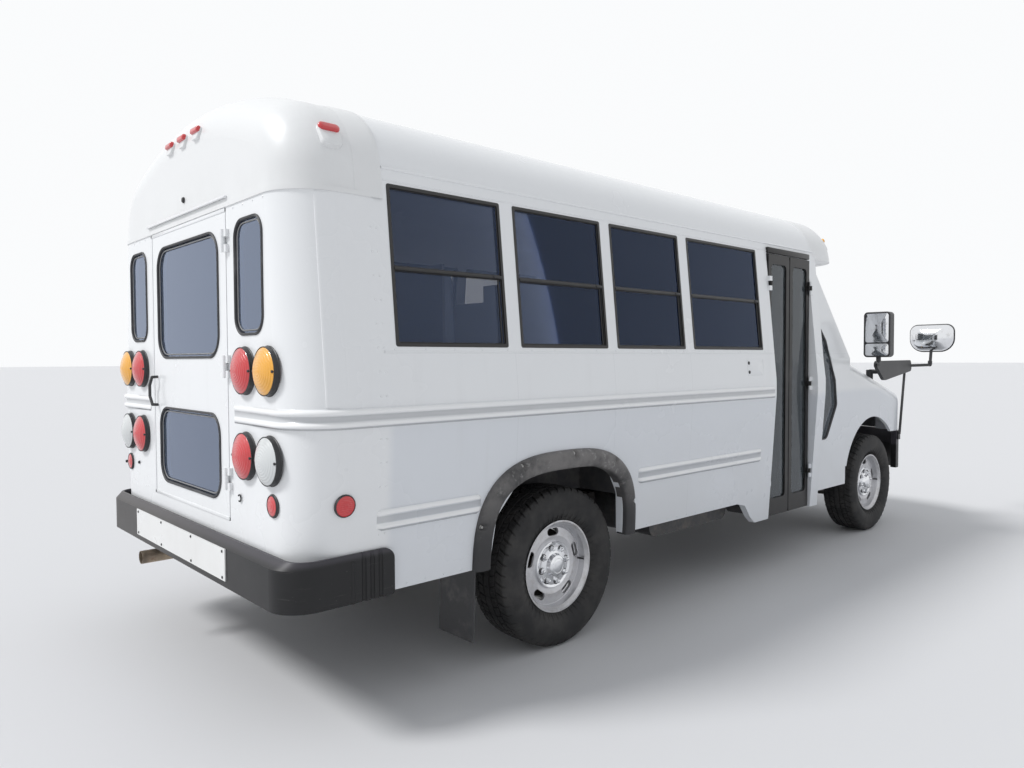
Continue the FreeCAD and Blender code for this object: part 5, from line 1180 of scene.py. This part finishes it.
def section_half(proud):
    """Half section above 1985 mm: wall line, eave arc, roof arc, each moved outwards by proud."""
    z = np.linspace(1985.0, 2084.0, 5)[:-1]
    wall = np.column_stack([wall_half(z) + proud, z])
    a = np.linspace(LEAN, math.pi / 2 - EAVE_TURN, 16)[:-1]
    reach = EAVE_R + proud
    eave = np.column_stack([EAVE_Y + reach * np.cos(a), EAVE_CENTRE_Z + reach * np.sin(a)])
    a = np.linspace(math.pi / 2 - EAVE_TURN, math.pi / 2, 12)
    reach = ROOF_R + proud
    top = np.column_stack([reach * np.cos(a), CROWN_Z - ROOF_R + reach * np.sin(a)])
    return np.concatenate([wall, eave, top])


def cap_flange():
    """Front edge of the rear cap: a low ramp over its seam, a land and a step, over the half section."""
    rows = [(-1116, 0.3), (-1064, 6.2), (-1020, 6.6), (-1003, 6.4), (-999.5, 5.0), (-998, 1.0), (-998, -2.0)]
    return both(grid(np.stack([at_x(x, section_half(proud)) for x, proud in rows])))


def wall_strip(x, rows):
    """Strip along the side wall: the same rows (height, proud) at even steps along x."""
    x = np.linspace(x[0], x[1], 30)
    rows = np.array(rows, float)
    points = np.stack([on_wall(np.column_stack([np.full(len(rows), a), rows[:, 0]]), rows[:, 1]) for a in x])
    return grid(points)


def panel_laps():
    """Edges of overlapping sheets: 2 mm steps on the walls and rear corners, and the drip rail."""
    lap = [(1409.5, -0.5), (1409, 1.4), (1405, 2.2), (1401, 2.2), (1400, 1.4), (1399.6, -0.5)]
    head = [(2064, -0.5), (2063, 1.8), (2059, 2.2), (2058, -0.5)]
    parts = [wall_strip((-1030.0, 1840.0), lap), wall_strip((-990.0, 2050.0), head)]
    turn = math.asin((DRIP_Z - EAVE_CENTRE_Z) / EAVE_R)
    path = np.column_stack([np.linspace(-996.0, 2520.0, 50), np.full(50, EAVE_Y + EAVE_R * math.cos(turn)),
                            np.full(50, DRIP_Z)])
    section = np.array([(-7, -1), (-7, 2.0), (-3, 5.5), (1.5, 6.5), (5, 5.0), (6, 2.0), (6, -1)])
    parts.append(swept(path, section, (0.0, math.cos(turn), math.sin(turn))))
    theta = np.radians([25.6, 25.2, 24.6, 22.0, 12.0, 0.0])
    reach = CORNER_R + np.array([-0.5, 2.0, 2.6, 2.6, 1.6, 0.1])
    z = np.linspace(1206.0, 1978.0, 24)
    x = REAR_X + CORNER_R - reach * np.sin(theta)
    y = (wall_half(z) - CORNER_R)[:, None] + (reach * np.cos(theta))[None]
    x, z = np.broadcast_to(x[None], y.shape), np.broadcast_to(z[:, None], y.shape)
    parts.append(grid(np.stack([x, y, z], -1)))
    drip = block((REAR_X - 12, -471, 2019), (REAR_X + 1, 495, 2030), 4, 3)
    door = [plate(rectangle(y, z, 4, 2), on_rear, 2.6, 2.2, 1.2)
            for y, z in (((-450, 462), (1968, 1983)), ((-450, 462), (728, 743)), ((447, 462), (728, 1983)))]
    return joined([both(joined(parts)), drip]), joined(door)


def small_fittings():
    """Lock panel and its lock by the entrance, plate screws, and the small dark fittings of the rear wall."""
    panel = plate(rectangle((1530, 1719), (1270, 1370), 5, 3), on_wall, 1.8, 2.4, 0.8)
    lock = lathe([(10, 0), (10, 3), (8.5, 4.2), (3, 4.4), (0, 3.4)], (0, 0, 0), WALL_OUT, 24)
    screw = lathe([(6, 0), (6, 1.5), (4.2, 3.0), (1.4, 3.4), (0, 2.6)], (0, 0, 0), REARWARD, 16)
    plate_spots = [(REAR_X - 62, y, z) for y in (-520.0, -180.0, 200.0, 540.0) for z in (524.0, 627.0)]
    dark = [repeated(screw, plate_spots),
            other_side(repeated(lock, on_wall([(1546.0, 1345.0), (1546.0, 1290.0)], 1.5)))]
    for y, z, radius in ((5.0, 2085.0, 13.0), (713.0, 851.0, 8.0), (931.0, 835.0, 8.0)):
        knob = [(radius, 0), (radius, 4), (radius * 0.8, 8), (radius * 0.3, 9.5), (0, 9.5)]
        dark.append(lathe(knob, (REAR_X, y, z), REARWARD, 20))
    turn = np.linspace(0.6, 5.2, 20)
    ring = on_rear(np.column_stack([-561 + 13 * np.cos(turn), 835 + 13 * np.sin(turn)]), 5.0)
    dark.append(swept(ring, circle(3.0, 8), REARWARD))
    return other_side(panel), joined(dark)


def mirror_faces():
    """Mirror glass: a flat pane over a convex one on each tall head, a domed face on each round one."""
    def on_head(line, proud=0.0):
        return at_x(3175.0 - proud, line)
    upper, lower = rectangle((1077, 1243), (1487, 1701), 18, 6), rectangle((1077, 1243), (1389, 1478), 18, 6)
    middle = lower.mean(0)
    rows = [on_head(middle + (lower - middle) * share, 1.0 + 9.0 * (1 - share ** 2))
            for share in np.linspace(1, 0, 8)]
    faces = [plate(upper, on_head, 1.6, 3.0, 1.0), grid(np.stack(rows), wrap_v=True)]
    edge = on_head(rectangle((1071, 1249), (1383, 1707), 24, 6), 1.0)
    rims = [swept(edge, circle(5.0, 8), REARWARD, closed=True),
            plate(rectangle((1080, 1240), (1478, 1487), 3, 2), on_head, 4.0, 5.0, 2.0)]
    x, centre = 4486.0, np.array([1100.0, 1540.0])
    ring = rectangle((-172.5, 172.5), (-112.5, 112.5), [105, 105, 60, 60], 8)
    share = np.sin(np.linspace(math.pi / 2, 0, 14))
    dome = [at_x(x - 2 - 82 * math.sqrt(1 - a * a), centre + ring * a) for a in share]
    faces.append(grid(np.stack(dome), wrap_v=True))
    rims.append(swept(at_x(x, centre + ring), circle(7.0, 10), REARWARD, closed=True))
    clamp = lathe([(15, -16), (17, -14), (17, 14), (15, 16)], (0, 0, 0), UPWARD, 16)
    rims.append(repeated(clamp, [(3210, 1160, 1366), (4446, 1100, 1330)]))
    return both(joined(faces)), both(joined(rims))


def wheel_brakes(x, side):
    """Brake drum in each wheel: revolved profile with two shallow grooves."""
    profile = [(42, -97), (150, -97), (160, -94), (166, -88), (166, -70), (162, -68), (162, -62), (166, -60),
               (166, -46), (162, -44), (162, -38), (166, -36), (166, -28), (158, -20), (100, -14), (42, -14)]
    return lathe(profile, (x, side * WHEEL_Y, WHEEL_R), (0.0, side, 0.0), 48)


def underside_details():
    """Shock absorbers and spring U-bolts: stepped cylinders, and round bars bent round the springs."""
    y = 478.0
    parts = [tube([(x, y - 36, 470), (x, y - 36, 300), (x, y + 36, 300), (x, y + 36, 470)], 7.0, 30, 5, 10)
             for x in (-46.0, 46.0)]
    shock = [(0, 0), (11, 0), (11, 150), (27, 156), (27, 330), (22, 338), (0, 340)]
    parts.append(lathe(shock, (-118.0, 372.0, 330.0), (-0.25, -0.12, 1.0), 20))
    return both(joined(parts))


def cabin_fittings():
    """Grab rails beside the steps, a pole by the aisle, dials and pedals: bent bars and revolved rims."""
    rails = [tube([(1826, -905, 860), (1826, -880, 1010), (1826, -880, 1640), (1826, -905, 1780)], 15, 60),
             tube([(2300, -520, 760), (2300, -520, 1120), (2120, -520, 1180), (1960, -520, 1180)], 15, 90),
             tube([(1800, -330, 722), (1800, -330, 1500), (1800, -330, 2425)], 16, 40)]
    flange = [(34, 0), (34, 4), (20, 9), (16, 12)]
    foot = lathe(flange, (1800, -330, 721), UPWARD, 24)
    head = lathe(flange, (1800, -330, 2428), (0.0, 0.0, -1.0), 24)
    dials = []
    for y, z, radius in ((500.0, 1292.0, 62.0), (625.0, 1292.0, 62.0), (562.0, 1254.0, 30.0)):
        rim = [(radius - 3, -8), (radius - 3, 3), (radius, 5), (radius + 3, 2), (radius + 3, -8)]
        for profile in (rim, [(radius - 3, 1), (0, 1.2)]):
            dials.append(lathe(profile, (2893.0, y, z), (-0.93, 0.0, 0.36), 32))
    pedals = []
    for y, wide in ((470.0, 62.0), (640.0, 38.0)):
        pad = plate(rectangle((-wide, wide), (-48, 48), 12, 4), flat, 6, 12, 3)
        pedals.append(facing(pad, np.array([3010.0, y, 868.0]), (-0.9, 0.0, 0.44)))
        pedals.append(tube([(3016, y, 872), (3052, y, 940), (3072, y, 1010)], 7, 20))
    return joined(rails + [foot, head]), joined(dials), joined(pedals)


def wipers():
    """Two wiper arms and blades: bars bent along the foot of the screen."""
    section = [(-2, -9), (2, -9), (4, -1), (6, 2), (4, 5), (-4, 5), (-6, 2), (-4, -1)]
    parts = []
    for y0, y1, pivot in ((610.0, 60.0, 640.0), (-20.0, -560.0, 20.0)):
        y = np.linspace(y0, y1, 24)
        blade = on_screen(y, 0.055 + 0.03 * (y0 - y) / (y0 - y1), 10.0)
        parts.append(swept(blade, section, on_screen(y, 0.06, 1.0) - on_screen(y, 0.06)))
        middle = on_screen((y0 + y1) / 2, 0.07, 22.0)
        foot = on_screen(pivot, -0.01, 12.0)
        bend = (foot + middle) / 2 + np.array([4, 0, 10])
        parts.append(tube([foot, bend, middle, middle - np.array([0, 0, 4])], 6, 40))
        parts.append(lathe([(17, -14), (17, 8), (12, 15), (0, 16)], foot, (0.6, 0.0, 0.8), 20))
    return joined(parts)


def entrance_trim():
    """Entrance: rubber edges where the leaves meet, half a circle carried up, and a header above."""
    strip = []
    turn = np.linspace(-math.pi / 2, math.pi / 2, 7)
    for x, way in ((2146.0, 1.0), (2154.0, -1.0)):
        section = np.column_stack([x - way * 0.5 + np.cos(turn) * 2.6 * way, -990.0 + np.sin(turn) * 12.0])
        strip.append(grid(np.stack([flat(section, z) for z in np.linspace(372.0, 2020.0, 20)])))
    return strip, block((1870.0, -1003.0, 2047.0), (2430.0, -975.0, 2083.0), 4, 3)


def slab(low, high, soft, shares=None):
    """Rounded block; shares gives its rear and front x at foot and top, and x is spread between them."""
    points, faces = block(low, high, soft, 5)
    if shares is not None:
        up = (points[:, 2] - low[2]) / (high[2] - low[2])
        rear = shares[0] + (shares[2] - shares[0]) * up
        front = shares[1] + (shares[3] - shares[1]) * up
        points = points.copy()
        points[:, 0] = rear + (front - rear) * (points[:, 0] - low[0]) / (high[0] - low[0])
    return points, faces


def read_back(made):
    """Points and faces of an object with its modifiers applied."""
    graph = bpy.context.evaluated_depsgraph_get()
    shaped = made.evaluated_get(graph)
    mesh = shaped.to_mesh()
    points = np.empty(len(mesh.vertices) * 3)
    mesh.vertices.foreach_get("co", points)
    normals = np.empty(len(mesh.vertices) * 3)
    mesh.vertices.foreach_get("normal", normals)
    faces = np.empty(len(mesh.polygons) * 4, int)
    mesh.polygons.foreach_get("vertices", faces)
    shaped.to_mesh_clear()
    return points.reshape(-1, 3), faces.reshape(-1, 4), normals.reshape(-1, 3)


def stuffed(part, swell, grooves, face):
    """A pad: even mesh, blown up as cloth with pressure, movement capped at swell, then subdivided.

    Channels are pressed in last, where the surface looks along face: depth times exp(-(distance / width)^2).
    """
    mesh = bpy.data.meshes.new("form")
    mesh.from_pydata(metres(part[0]).tolist(), [], part[1].tolist())
    merged(mesh, 1e-5)
    made = bpy.data.objects.new("form", mesh)
    bpy.context.scene.collection.objects.link(made)
    even = made.modifiers.new("even", "REMESH")
    even.mode = "VOXEL"
    even.voxel_size = PAD_VOXEL
    points, faces, normals = read_back(made)
    made.modifiers.clear()
    start = bpy.data.meshes.new("start")
    start.from_pydata(points.tolist(), [], faces.tolist())
    made.data = start
    low = points[:, 2].min()
    held = made.vertex_groups.new(name="held")
    held.add(np.flatnonzero(points[:, 2] < low + 0.012).tolist(), 1.0, "REPLACE")
    cloth = made.modifiers.new("fill", "CLOTH")
    cloth.settings.use_pressure = True
    cloth.settings.uniform_pressure_force = 4.0
    cloth.settings.vertex_group_mass = "held"
    cloth.settings.effector_weights.gravity = 0.0
    cloth.settings.quality = 6
    for step in range(1, CLOTH_STEPS + 1):
        bpy.context.scene.frame_set(step)
    moved = read_back(made)[0]
    bpy.context.scene.frame_set(1)
    made.modifiers.clear()
    travel = moved - points
    length = np.linalg.norm(travel, axis=1)[:, None]
    points = points + travel * np.minimum(1.0, swell * 0.001 / np.maximum(length, 1e-9))
    start.vertices.foreach_set("co", points.ravel())
    start.update()
    fine = made.modifiers.new("fine", "SUBSURF")
    fine.levels = fine.render_levels = 1
    points, faces, normals = read_back(made)
    bpy.data.objects.remove(made)
    bpy.data.meshes.remove(start)
    bpy.data.meshes.remove(mesh)
    looks = np.clip((normals @ np.asarray(face, float) - 0.35) / 0.3, 0, 1)
    for place in grooves:
        near = (points[:, 1] - place * 0.001) / CHANNEL_WIDTH
        points = points - normals * (CHANNEL_DEPTH * np.exp(-near ** 2) * looks)[:, None]
    points = points * 1000.0
    points[:, 0] += MIDDLE
    return points, faces


def sewn(part, line, toward):
    """Piping laid on a pad: a closed line is cast onto the surface and a round cord is swept along it."""
    tree = BVHTree.FromPolygons((part[0] * 0.001).tolist(), part[1].tolist())
    way = Vector(toward)
    hits = [tree.ray_cast(Vector(place * 0.001) - way * 0.5, way)[0] for place in line]
    spots = [np.array(hit) * 1000.0 - toward for hit in hits if hit is not None]
    return swept(np.array(spots), circle(3.6, 6), -toward, closed=True)


def seat_pads(swell):
    """Benches and the driver's seat: each kind of pad is stuffed once and copied to its rows, with piping."""
    down, back_face = np.array([0.0, 0.0, -1.0]), np.array([-1.0, 0.0, 0.0])
    lean = swell * 6.0 / 7.0
    grooves = (542.0, 743.0)
    cushion = stuffed(slab((120.0, 342.0, 1044.0), (508.0, 943.0, 1134.0), 34), swell, grooves, -down)
    back = slab((0.0, 342.0, 1158.0), (100.0, 943.0, 1764.0), 30, (82.0, 178.0, 77.0, 130.0))
    back = stuffed(back, lean, grooves, -back_face)
    cords = joined([sewn(cushion, flat(rectangle((142, 490), (362, 923), 40, 6), 1140.0), down),
                    sewn(back, at_x(140.0, rectangle((364, 921), (1185, 1744), 40, 6)), back_face)])
    bench = joined([cushion, back])
    pads, lines = [], []
    for side, places in BENCH_ROWS:
        rows = [repeated(part, [(x, 0.0, 0.0) for x in places]) for part in (bench, cords)]
        one, cord = rows if side > 0 else [other_side(part) for part in rows]
        pads.append(one)
        lines.append(cord)
    grooves = (440.0, 680.0)
    seat = stuffed(slab((2192.0, 332.0, 1006.0), (2626.0, 788.0, 1094.0), 36), swell, grooves, -down)
    rest = slab((0.0, 332.0, 1118.0), (110.0, 788.0, 1684.0), 36, (2210.0, 2308.0, 2160.0, 2240.0))
    rest = stuffed(rest, lean, grooves, -back_face)
    lines.append(sewn(seat, flat(rectangle((2216, 2604), (352, 768), 40, 6), 1100.0), down))
    pads.append(joined([seat, rest]))
    return pads, joined(lines)


# One operator for each piece or group of like pieces
class MINIBUS_OT_finishes(bpy.types.Operator):
    """Give every solid of the frame its finish"""
    bl_idname = "minibus.finishes"
    bl_label = "Finishes"

    def execute(self, context):
        slots = {part["node"]: part["material_slot"] for part in frame["record"]["subparts"]}
        slots["rear_door"] = "rear_door_paint"
        for name, node in frame["nodes"].items():
            finish = finish_for(slots[name])
            if not node.data.materials:
                node.data.materials.append(finish)
            for index in range(len(node.data.materials)):
                node.data.materials[index] = finish
            for holder in node.material_slots:
                holder.material = finish
        return {"FINISHED"}


class MINIBUS_OT_tyres(bpy.types.Operator):
    """Tyres with grooved treads and rounded walls"""
    bl_idname = "minibus.tyres"
    bl_label = "Tyres"

    def execute(self, context):
        depth = context.scene.bus_sizes.groove_depth * 1000
        for end, name, x, side in WHEELS:
            made = piece(f"tyre_tread_{end}_{name}", tyre_shape(x, side, depth), f"wheel_{end}_{name}",
                         "tyre", 30)
            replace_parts(made, f"tyre_{end}_{name}")
        return {"FINISHED"}


class MINIBUS_OT_wheel_caps(bpy.types.Operator):
    """Bright centre caps, wheel nuts and valve stems"""
    bl_idname = "minibus.wheel_caps"
    bl_label = "Wheel caps"

    def execute(self, context):
        for end, name, x, side in WHEELS:
            bright, pocket, stem = wheel_trim_shape(x, side)
            body = f"wheel_{end}_{name}"
            piece(f"hub_cap_{end}_{name}", bright, body, "chrome", 35)
            piece(f"nut_pockets_{end}_{name}", pocket, body, "black_plastic")
            piece(f"valve_{end}_{name}", stem, body, "gasket")
        return {"FINISHED"}


class MINIBUS_OT_flares(bpy.types.Operator):
    """Arch flares with bolt pockets, and the mud flaps"""
    bl_idname = "minibus.flares"
    bl_label = "Arch flares"

    def execute(self, context):
        flares, bolts, flaps = [joined([shape(1), shape(-1)])
                                for shape in (flare_shape, flare_bolts, flap_shape)]
        made = piece("arch_flares", flares, "bus", "trim_black", 50)
        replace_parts(made, "wheel_trim")
        piece("flare_bolts", bolts, "bus", "zinc", 30)
        piece("mud_flaps", flaps, "bus", "gasket", 30)
        return {"FINISHED"}


class MINIBUS_OT_rails(bpy.types.Operator):
    """Ridged rub rails along the belt and the skirts"""
    bl_idname = "minibus.rails"
    bl_label = "Rub rails"

    def execute(self, context):
        belt = [belt_rail(1, 2060.0), belt_rail(-1, 1850.0)]
        low = [lower_rail(side, *ends) for side in (1, -1) for ends in ((-1069.0, -560.0), (497.0, 1720.0))]
        made = piece("ridged_rails", joined(belt + low), "bus", "rail_white", 60)
        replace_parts(made, "rub_rails")
        return {"FINISHED"}


class MINIBUS_OT_rivets(bpy.types.Operator):
    """Rivet rows along the panel joints"""
    bl_idname = "minibus.rivets"
    bl_label = "Rivets"

    def execute(self, context):
        sizes = context.scene.bus_sizes
        rows = rivet_rows(sizes.rivet_radius, sizes.rivet_step)
        piece("rivets", rows, "bus", "body_white", 60, weld=False)
        return {"FINISHED"}


class MINIBUS_OT_lamps(bpy.types.Operator):
    """Rear lamps, reflectors, marker lamps and head lamps"""
    bl_idname = "minibus.lamps"
    bl_label = "Lamps"

    def execute(self, context):
        lenses, housings, screws = rear_lamps(context.scene.bus_sizes.lens_ribs)
        bases, red, amber = marker_lamps()
        cover, bowl, turn, bezel = head_lamps()
        for name, part, look in (("red_lenses", joined([lenses["red"], red]), "red_lens"),
                                 ("amber_lenses", joined([lenses["amber"], amber, turn]), "amber_lens"),
                                 ("clear_lenses", lenses["clear"], "clear_lens"),
                                 ("head_lamp_covers", cover, "lamp_glass")):
            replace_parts(piece(name, part, "bus", look, 50), "lamps")
        for name, part, look in (("lamp_housings", housings, "black_plastic"),
                                 ("lamp_screws", screws, "black_plastic"),
                                 ("marker_bases", bases, "cap_white"),
                                 ("head_lamp_bowls", bowl, "chrome"),
                                 ("head_lamp_bezels", bezel, "chrome")):
            piece(name, part, "bus", look)
        return {"FINISHED"}


class MINIBUS_OT_rubbers(bpy.types.Operator):
    """Rubbers around the fixed panes and the windscreen"""
    bl_idname = "minibus.rubbers"
    bl_label = "Glazing rubbers"

    def execute(self, context):
        rubbers = glazing_rubbers(context.scene.bus_sizes.gasket_width * 1000)
        for name, body, part, lip in zip(("fixed", "door"), ("bus", "emergency_door"), rubbers, pane_lips()):
            piece(f"{name}_rubbers", part, body, "gasket", 50)
            piece(f"{name}_rubber_lips", lip, body, "pale_rubber", 60)
        return {"FINISHED"}


class MINIBUS_OT_side_windows(bpy.types.Operator):
    """Beads, meeting bars and latches of the side windows"""
    bl_idname = "minibus.side_windows"
    bl_label = "Side windows"

    def execute(self, context):
        beads, latches = window_details()
        piece("sash_beads", beads, "bus", "window_frame_dark", 50)
        piece("sash_latches", latches, "bus", "black_plastic")
        return {"FINISHED"}


class MINIBUS_OT_laps(bpy.types.Operator):
    """Flange of the rear cap, sheet laps, drip rail and door flanges"""
    bl_idname = "minibus.laps"
    bl_label = "Laps and drip rail"

    def execute(self, context):
        piece("cap_flange", cap_flange(), "bus", "cap_white", 30)
        body, door = panel_laps()
        piece("sheet_laps", body, "bus", "body_white")
        piece("door_flanges", door, "emergency_door", "body_white")
        return {"FINISHED"}


class MINIBUS_OT_fittings(bpy.types.Operator):
    """Lock panel, plate screws and the small fittings of the rear wall"""
    bl_idname = "minibus.fittings"
    bl_label = "Small fittings"

    def execute(self, context):
        panel, dark = small_fittings()
        piece("lock_panel", panel, "bus", "body_white", 30)
        piece("small_fittings", dark, "bus", "black_plastic")
        return {"FINISHED"}


class MINIBUS_OT_mirrors(bpy.types.Operator):
    """Glass, rims and clamps of the mirrors"""
    bl_idname = "minibus.mirrors"
    bl_label = "Mirrors"

    def execute(self, context):
        faces, rims = mirror_faces()
        piece("mirror_glass", faces, "bus", "mirror_face")
        piece("mirror_rims", rims, "bus", "black_plastic")
        return {"FINISHED"}


class MINIBUS_OT_underside(bpy.types.Operator):
    """Brake drums, shock absorbers and spring bolts"""
    bl_idname = "minibus.underside"
    bl_label = "Underside"

    def execute(self, context):
        for end, name, x, side in WHEELS:
            drum = wheel_brakes(x, side)
            piece(f"brake_drum_{end}_{name}", drum, f"wheel_{end}_{name}", "axle_black")
        piece("spring_bolts", underside_details(), "bus", "zinc")
        return {"FINISHED"}


class MINIBUS_OT_cabin(bpy.types.Operator):
    """Grab rails, pole, dials and pedals inside"""
    bl_idname = "minibus.cabin"
    bl_label = "Cabin fittings"

    def execute(self, context):
        bright, dials, pedals = cabin_fittings()
        piece("grab_rails", bright, "bus", "chrome")
        piece("dials", dials, "bus", "black_plastic")
        piece("pedals", pedals, "bus", "black_plastic")
        return {"FINISHED"}


class MINIBUS_OT_front(bpy.types.Operator):
    """Wipers, and the entrance's rubber edges and header"""
    bl_idname = "minibus.front"
    bl_label = "Wipers and entrance trim"

    def execute(self, context):
        piece("wipers", wipers(), "bus", "black_plastic")
        edges, header = entrance_trim()
        for edge, leaf in zip(edges, ("rear", "front")):
            piece(f"leaf_edge_{leaf}", edge, f"door_leaf_{leaf}", "gasket", 60)
        piece("entrance_header", header, "bus", "door_frame_dark")
        return {"FINISHED"}


class MINIBUS_OT_seats(bpy.types.Operator):
    """Stuffed bench and driver's pads with their piping"""
    bl_idname = "minibus.seats"
    bl_label = "Seats"

    def execute(self, context):
        pads, lines = seat_pads(context.scene.bus_sizes.crown * 1000)
        for name, part in zip(("bench_pads_left", "bench_pads_right", "driver_pads"), pads):
            made = piece(name, part, "bus", "seat_vinyl", 180, weld=False)
            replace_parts(made, "seat_cushions")
        piece("seat_piping", lines, "bus", "piping", 60)
        return {"FINISHED"}


class MINIBUS_OT_stage(bpy.types.Operator):
    """Pale floor, soft light and the camera at the photograph's viewing angle"""
    bl_idname = "minibus.stage"
    bl_label = "Stage"

    def execute(self, context):
        scene = context.scene
        stage = scene.bus_stage

        def placed(name, data):
            made = bpy.data.objects.new(name, data)
            scene.collection.objects.link(made)
            return made

        half = FLOOR_SIZE / 2
        mesh = bpy.data.meshes.new("floor_sheet")
        corners = [(-half, -half, 0), (half, -half, 0), (half, half, 0), (-half, half, 0)]
        mesh.from_pydata(corners, [], [(0, 1, 2, 3)])
        finish = Finish("floor_sheet", Roughness=0.75)
        cloud = finish.rise(finish.noise(0.35, 3.0, 0.5), 0.2, 0.8) * 0.04
        finish.feed(Base_Color=finish.mix(cloud, tuple(stage.floor), shade(tuple(stage.floor), 0.9)))
        mesh.materials.append(finish.material)
        floor = placed("floor_sheet", mesh)

        world = bpy.data.worlds.new("even_light")
        scene.world = world
        world.use_nodes = True
        tree = world.node_tree
        tree.nodes.clear()

        def ground(colour, strength):
            made = tree.nodes.new("ShaderNodeBackground")
            made.inputs["Color"].default_value = (*colour, 1.0)
            made.inputs["Strength"].default_value = strength
            return made.outputs[0]

        def larger(first, second):
            made = tree.nodes.new("ShaderNodeMath")
            made.operation = "MAXIMUM"
            tree.links.new(first, made.inputs[0])
            tree.links.new(second, made.inputs[1])
            return made.outputs[0]

        rays = tree.nodes.new("ShaderNodeLightPath").outputs
        seen = larger(larger(rays["Is Camera Ray"], rays["Is Transmission Ray"]), rays["Is Glossy Ray"])
        choice = tree.nodes.new("ShaderNodeMixShader")
        tree.links.new(seen, choice.inputs[0])
        tree.links.new(ground((0.93, 0.96, 1.0), stage.sky), choice.inputs[1])
        tree.links.new(ground((0.96, 0.97, 0.98), 1.0), choice.inputs[2])
        end = tree.nodes.new("ShaderNodeOutputWorld")
        tree.links.new(choice.outputs[0], end.inputs["Surface"])

        key = bpy.data.lights.new("key_light", "SUN")
        key.energy = stage.sun
        key.angle = math.radians(14)
        lamp = placed("key_light", key)
        lamp.rotation_euler = (math.radians(42), 0, math.radians(-118))

        view = bpy.data.cameras.new("viewpoint")
        view.lens = stage.lens
        view.sensor_width = 36.0
        view.clip_start, view.clip_end = 0.05, 500.0
        camera = placed("viewpoint", view)
        heading, pitch, roll = (Matrix.Rotation(math.radians(angle), 4, axis) for angle, axis in CAMERA_TURNS)
        camera.matrix_world = Matrix.Translation(CAMERA_PLACE) @ heading @ pitch @ roll
        scene.camera = camera
        scene.view_settings.view_transform = "Standard"
        return {"FINISHED"}


class MINIBUS_PT_pieces(bpy.types.Panel):
    """Sizes, colours and one button for each group of pieces"""
    bl_idname = "MINIBUS_PT_pieces"
    bl_label = "Minibus"
    bl_space_type = "VIEW_3D"
    bl_region_type = "UI"
    bl_category = "Minibus"

    def draw(self, context):
        for group in (context.scene.bus_sizes, context.scene.bus_colours, context.scene.bus_stage):
            column = self.layout.column(align=True)
            for name in group.__annotations__:
                column.prop(group, name)
        for operator in OPERATORS:
            self.layout.operator(operator.bl_idname)


OPERATORS = (
    MINIBUS_OT_finishes, MINIBUS_OT_tyres, MINIBUS_OT_wheel_caps, MINIBUS_OT_flares, MINIBUS_OT_rails,
    MINIBUS_OT_rivets, MINIBUS_OT_lamps, MINIBUS_OT_rubbers, MINIBUS_OT_side_windows, MINIBUS_OT_laps,
    MINIBUS_OT_fittings, MINIBUS_OT_mirrors, MINIBUS_OT_underside, MINIBUS_OT_cabin, MINIBUS_OT_front,
    MINIBUS_OT_seats, MINIBUS_OT_stage)
GROUPS = (BusSizes, BusColours, BusStage)


def register():
    for group in GROUPS + OPERATORS + (MINIBUS_PT_pieces,):
        bpy.utils.register_class(group)
    bpy.types.Scene.bus_sizes = PointerProperty(type=BusSizes)
    bpy.types.Scene.bus_colours = PointerProperty(type=BusColours)
    bpy.types.Scene.bus_stage = PointerProperty(type=BusStage)


def unregister():
    del bpy.types.Scene.bus_sizes
    del bpy.types.Scene.bus_colours
    del bpy.types.Scene.bus_stage
    for group in (MINIBUS_PT_pieces,) + OPERATORS[::-1] + GROUPS[::-1]:
        bpy.utils.unregister_class(group)


def main():
    register()
    for operator in OPERATORS:
        group, name = operator.bl_idname.split(".")
        getattr(getattr(bpy.ops, group), name)()
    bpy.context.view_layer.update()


if __name__ == "__main__":
    main()
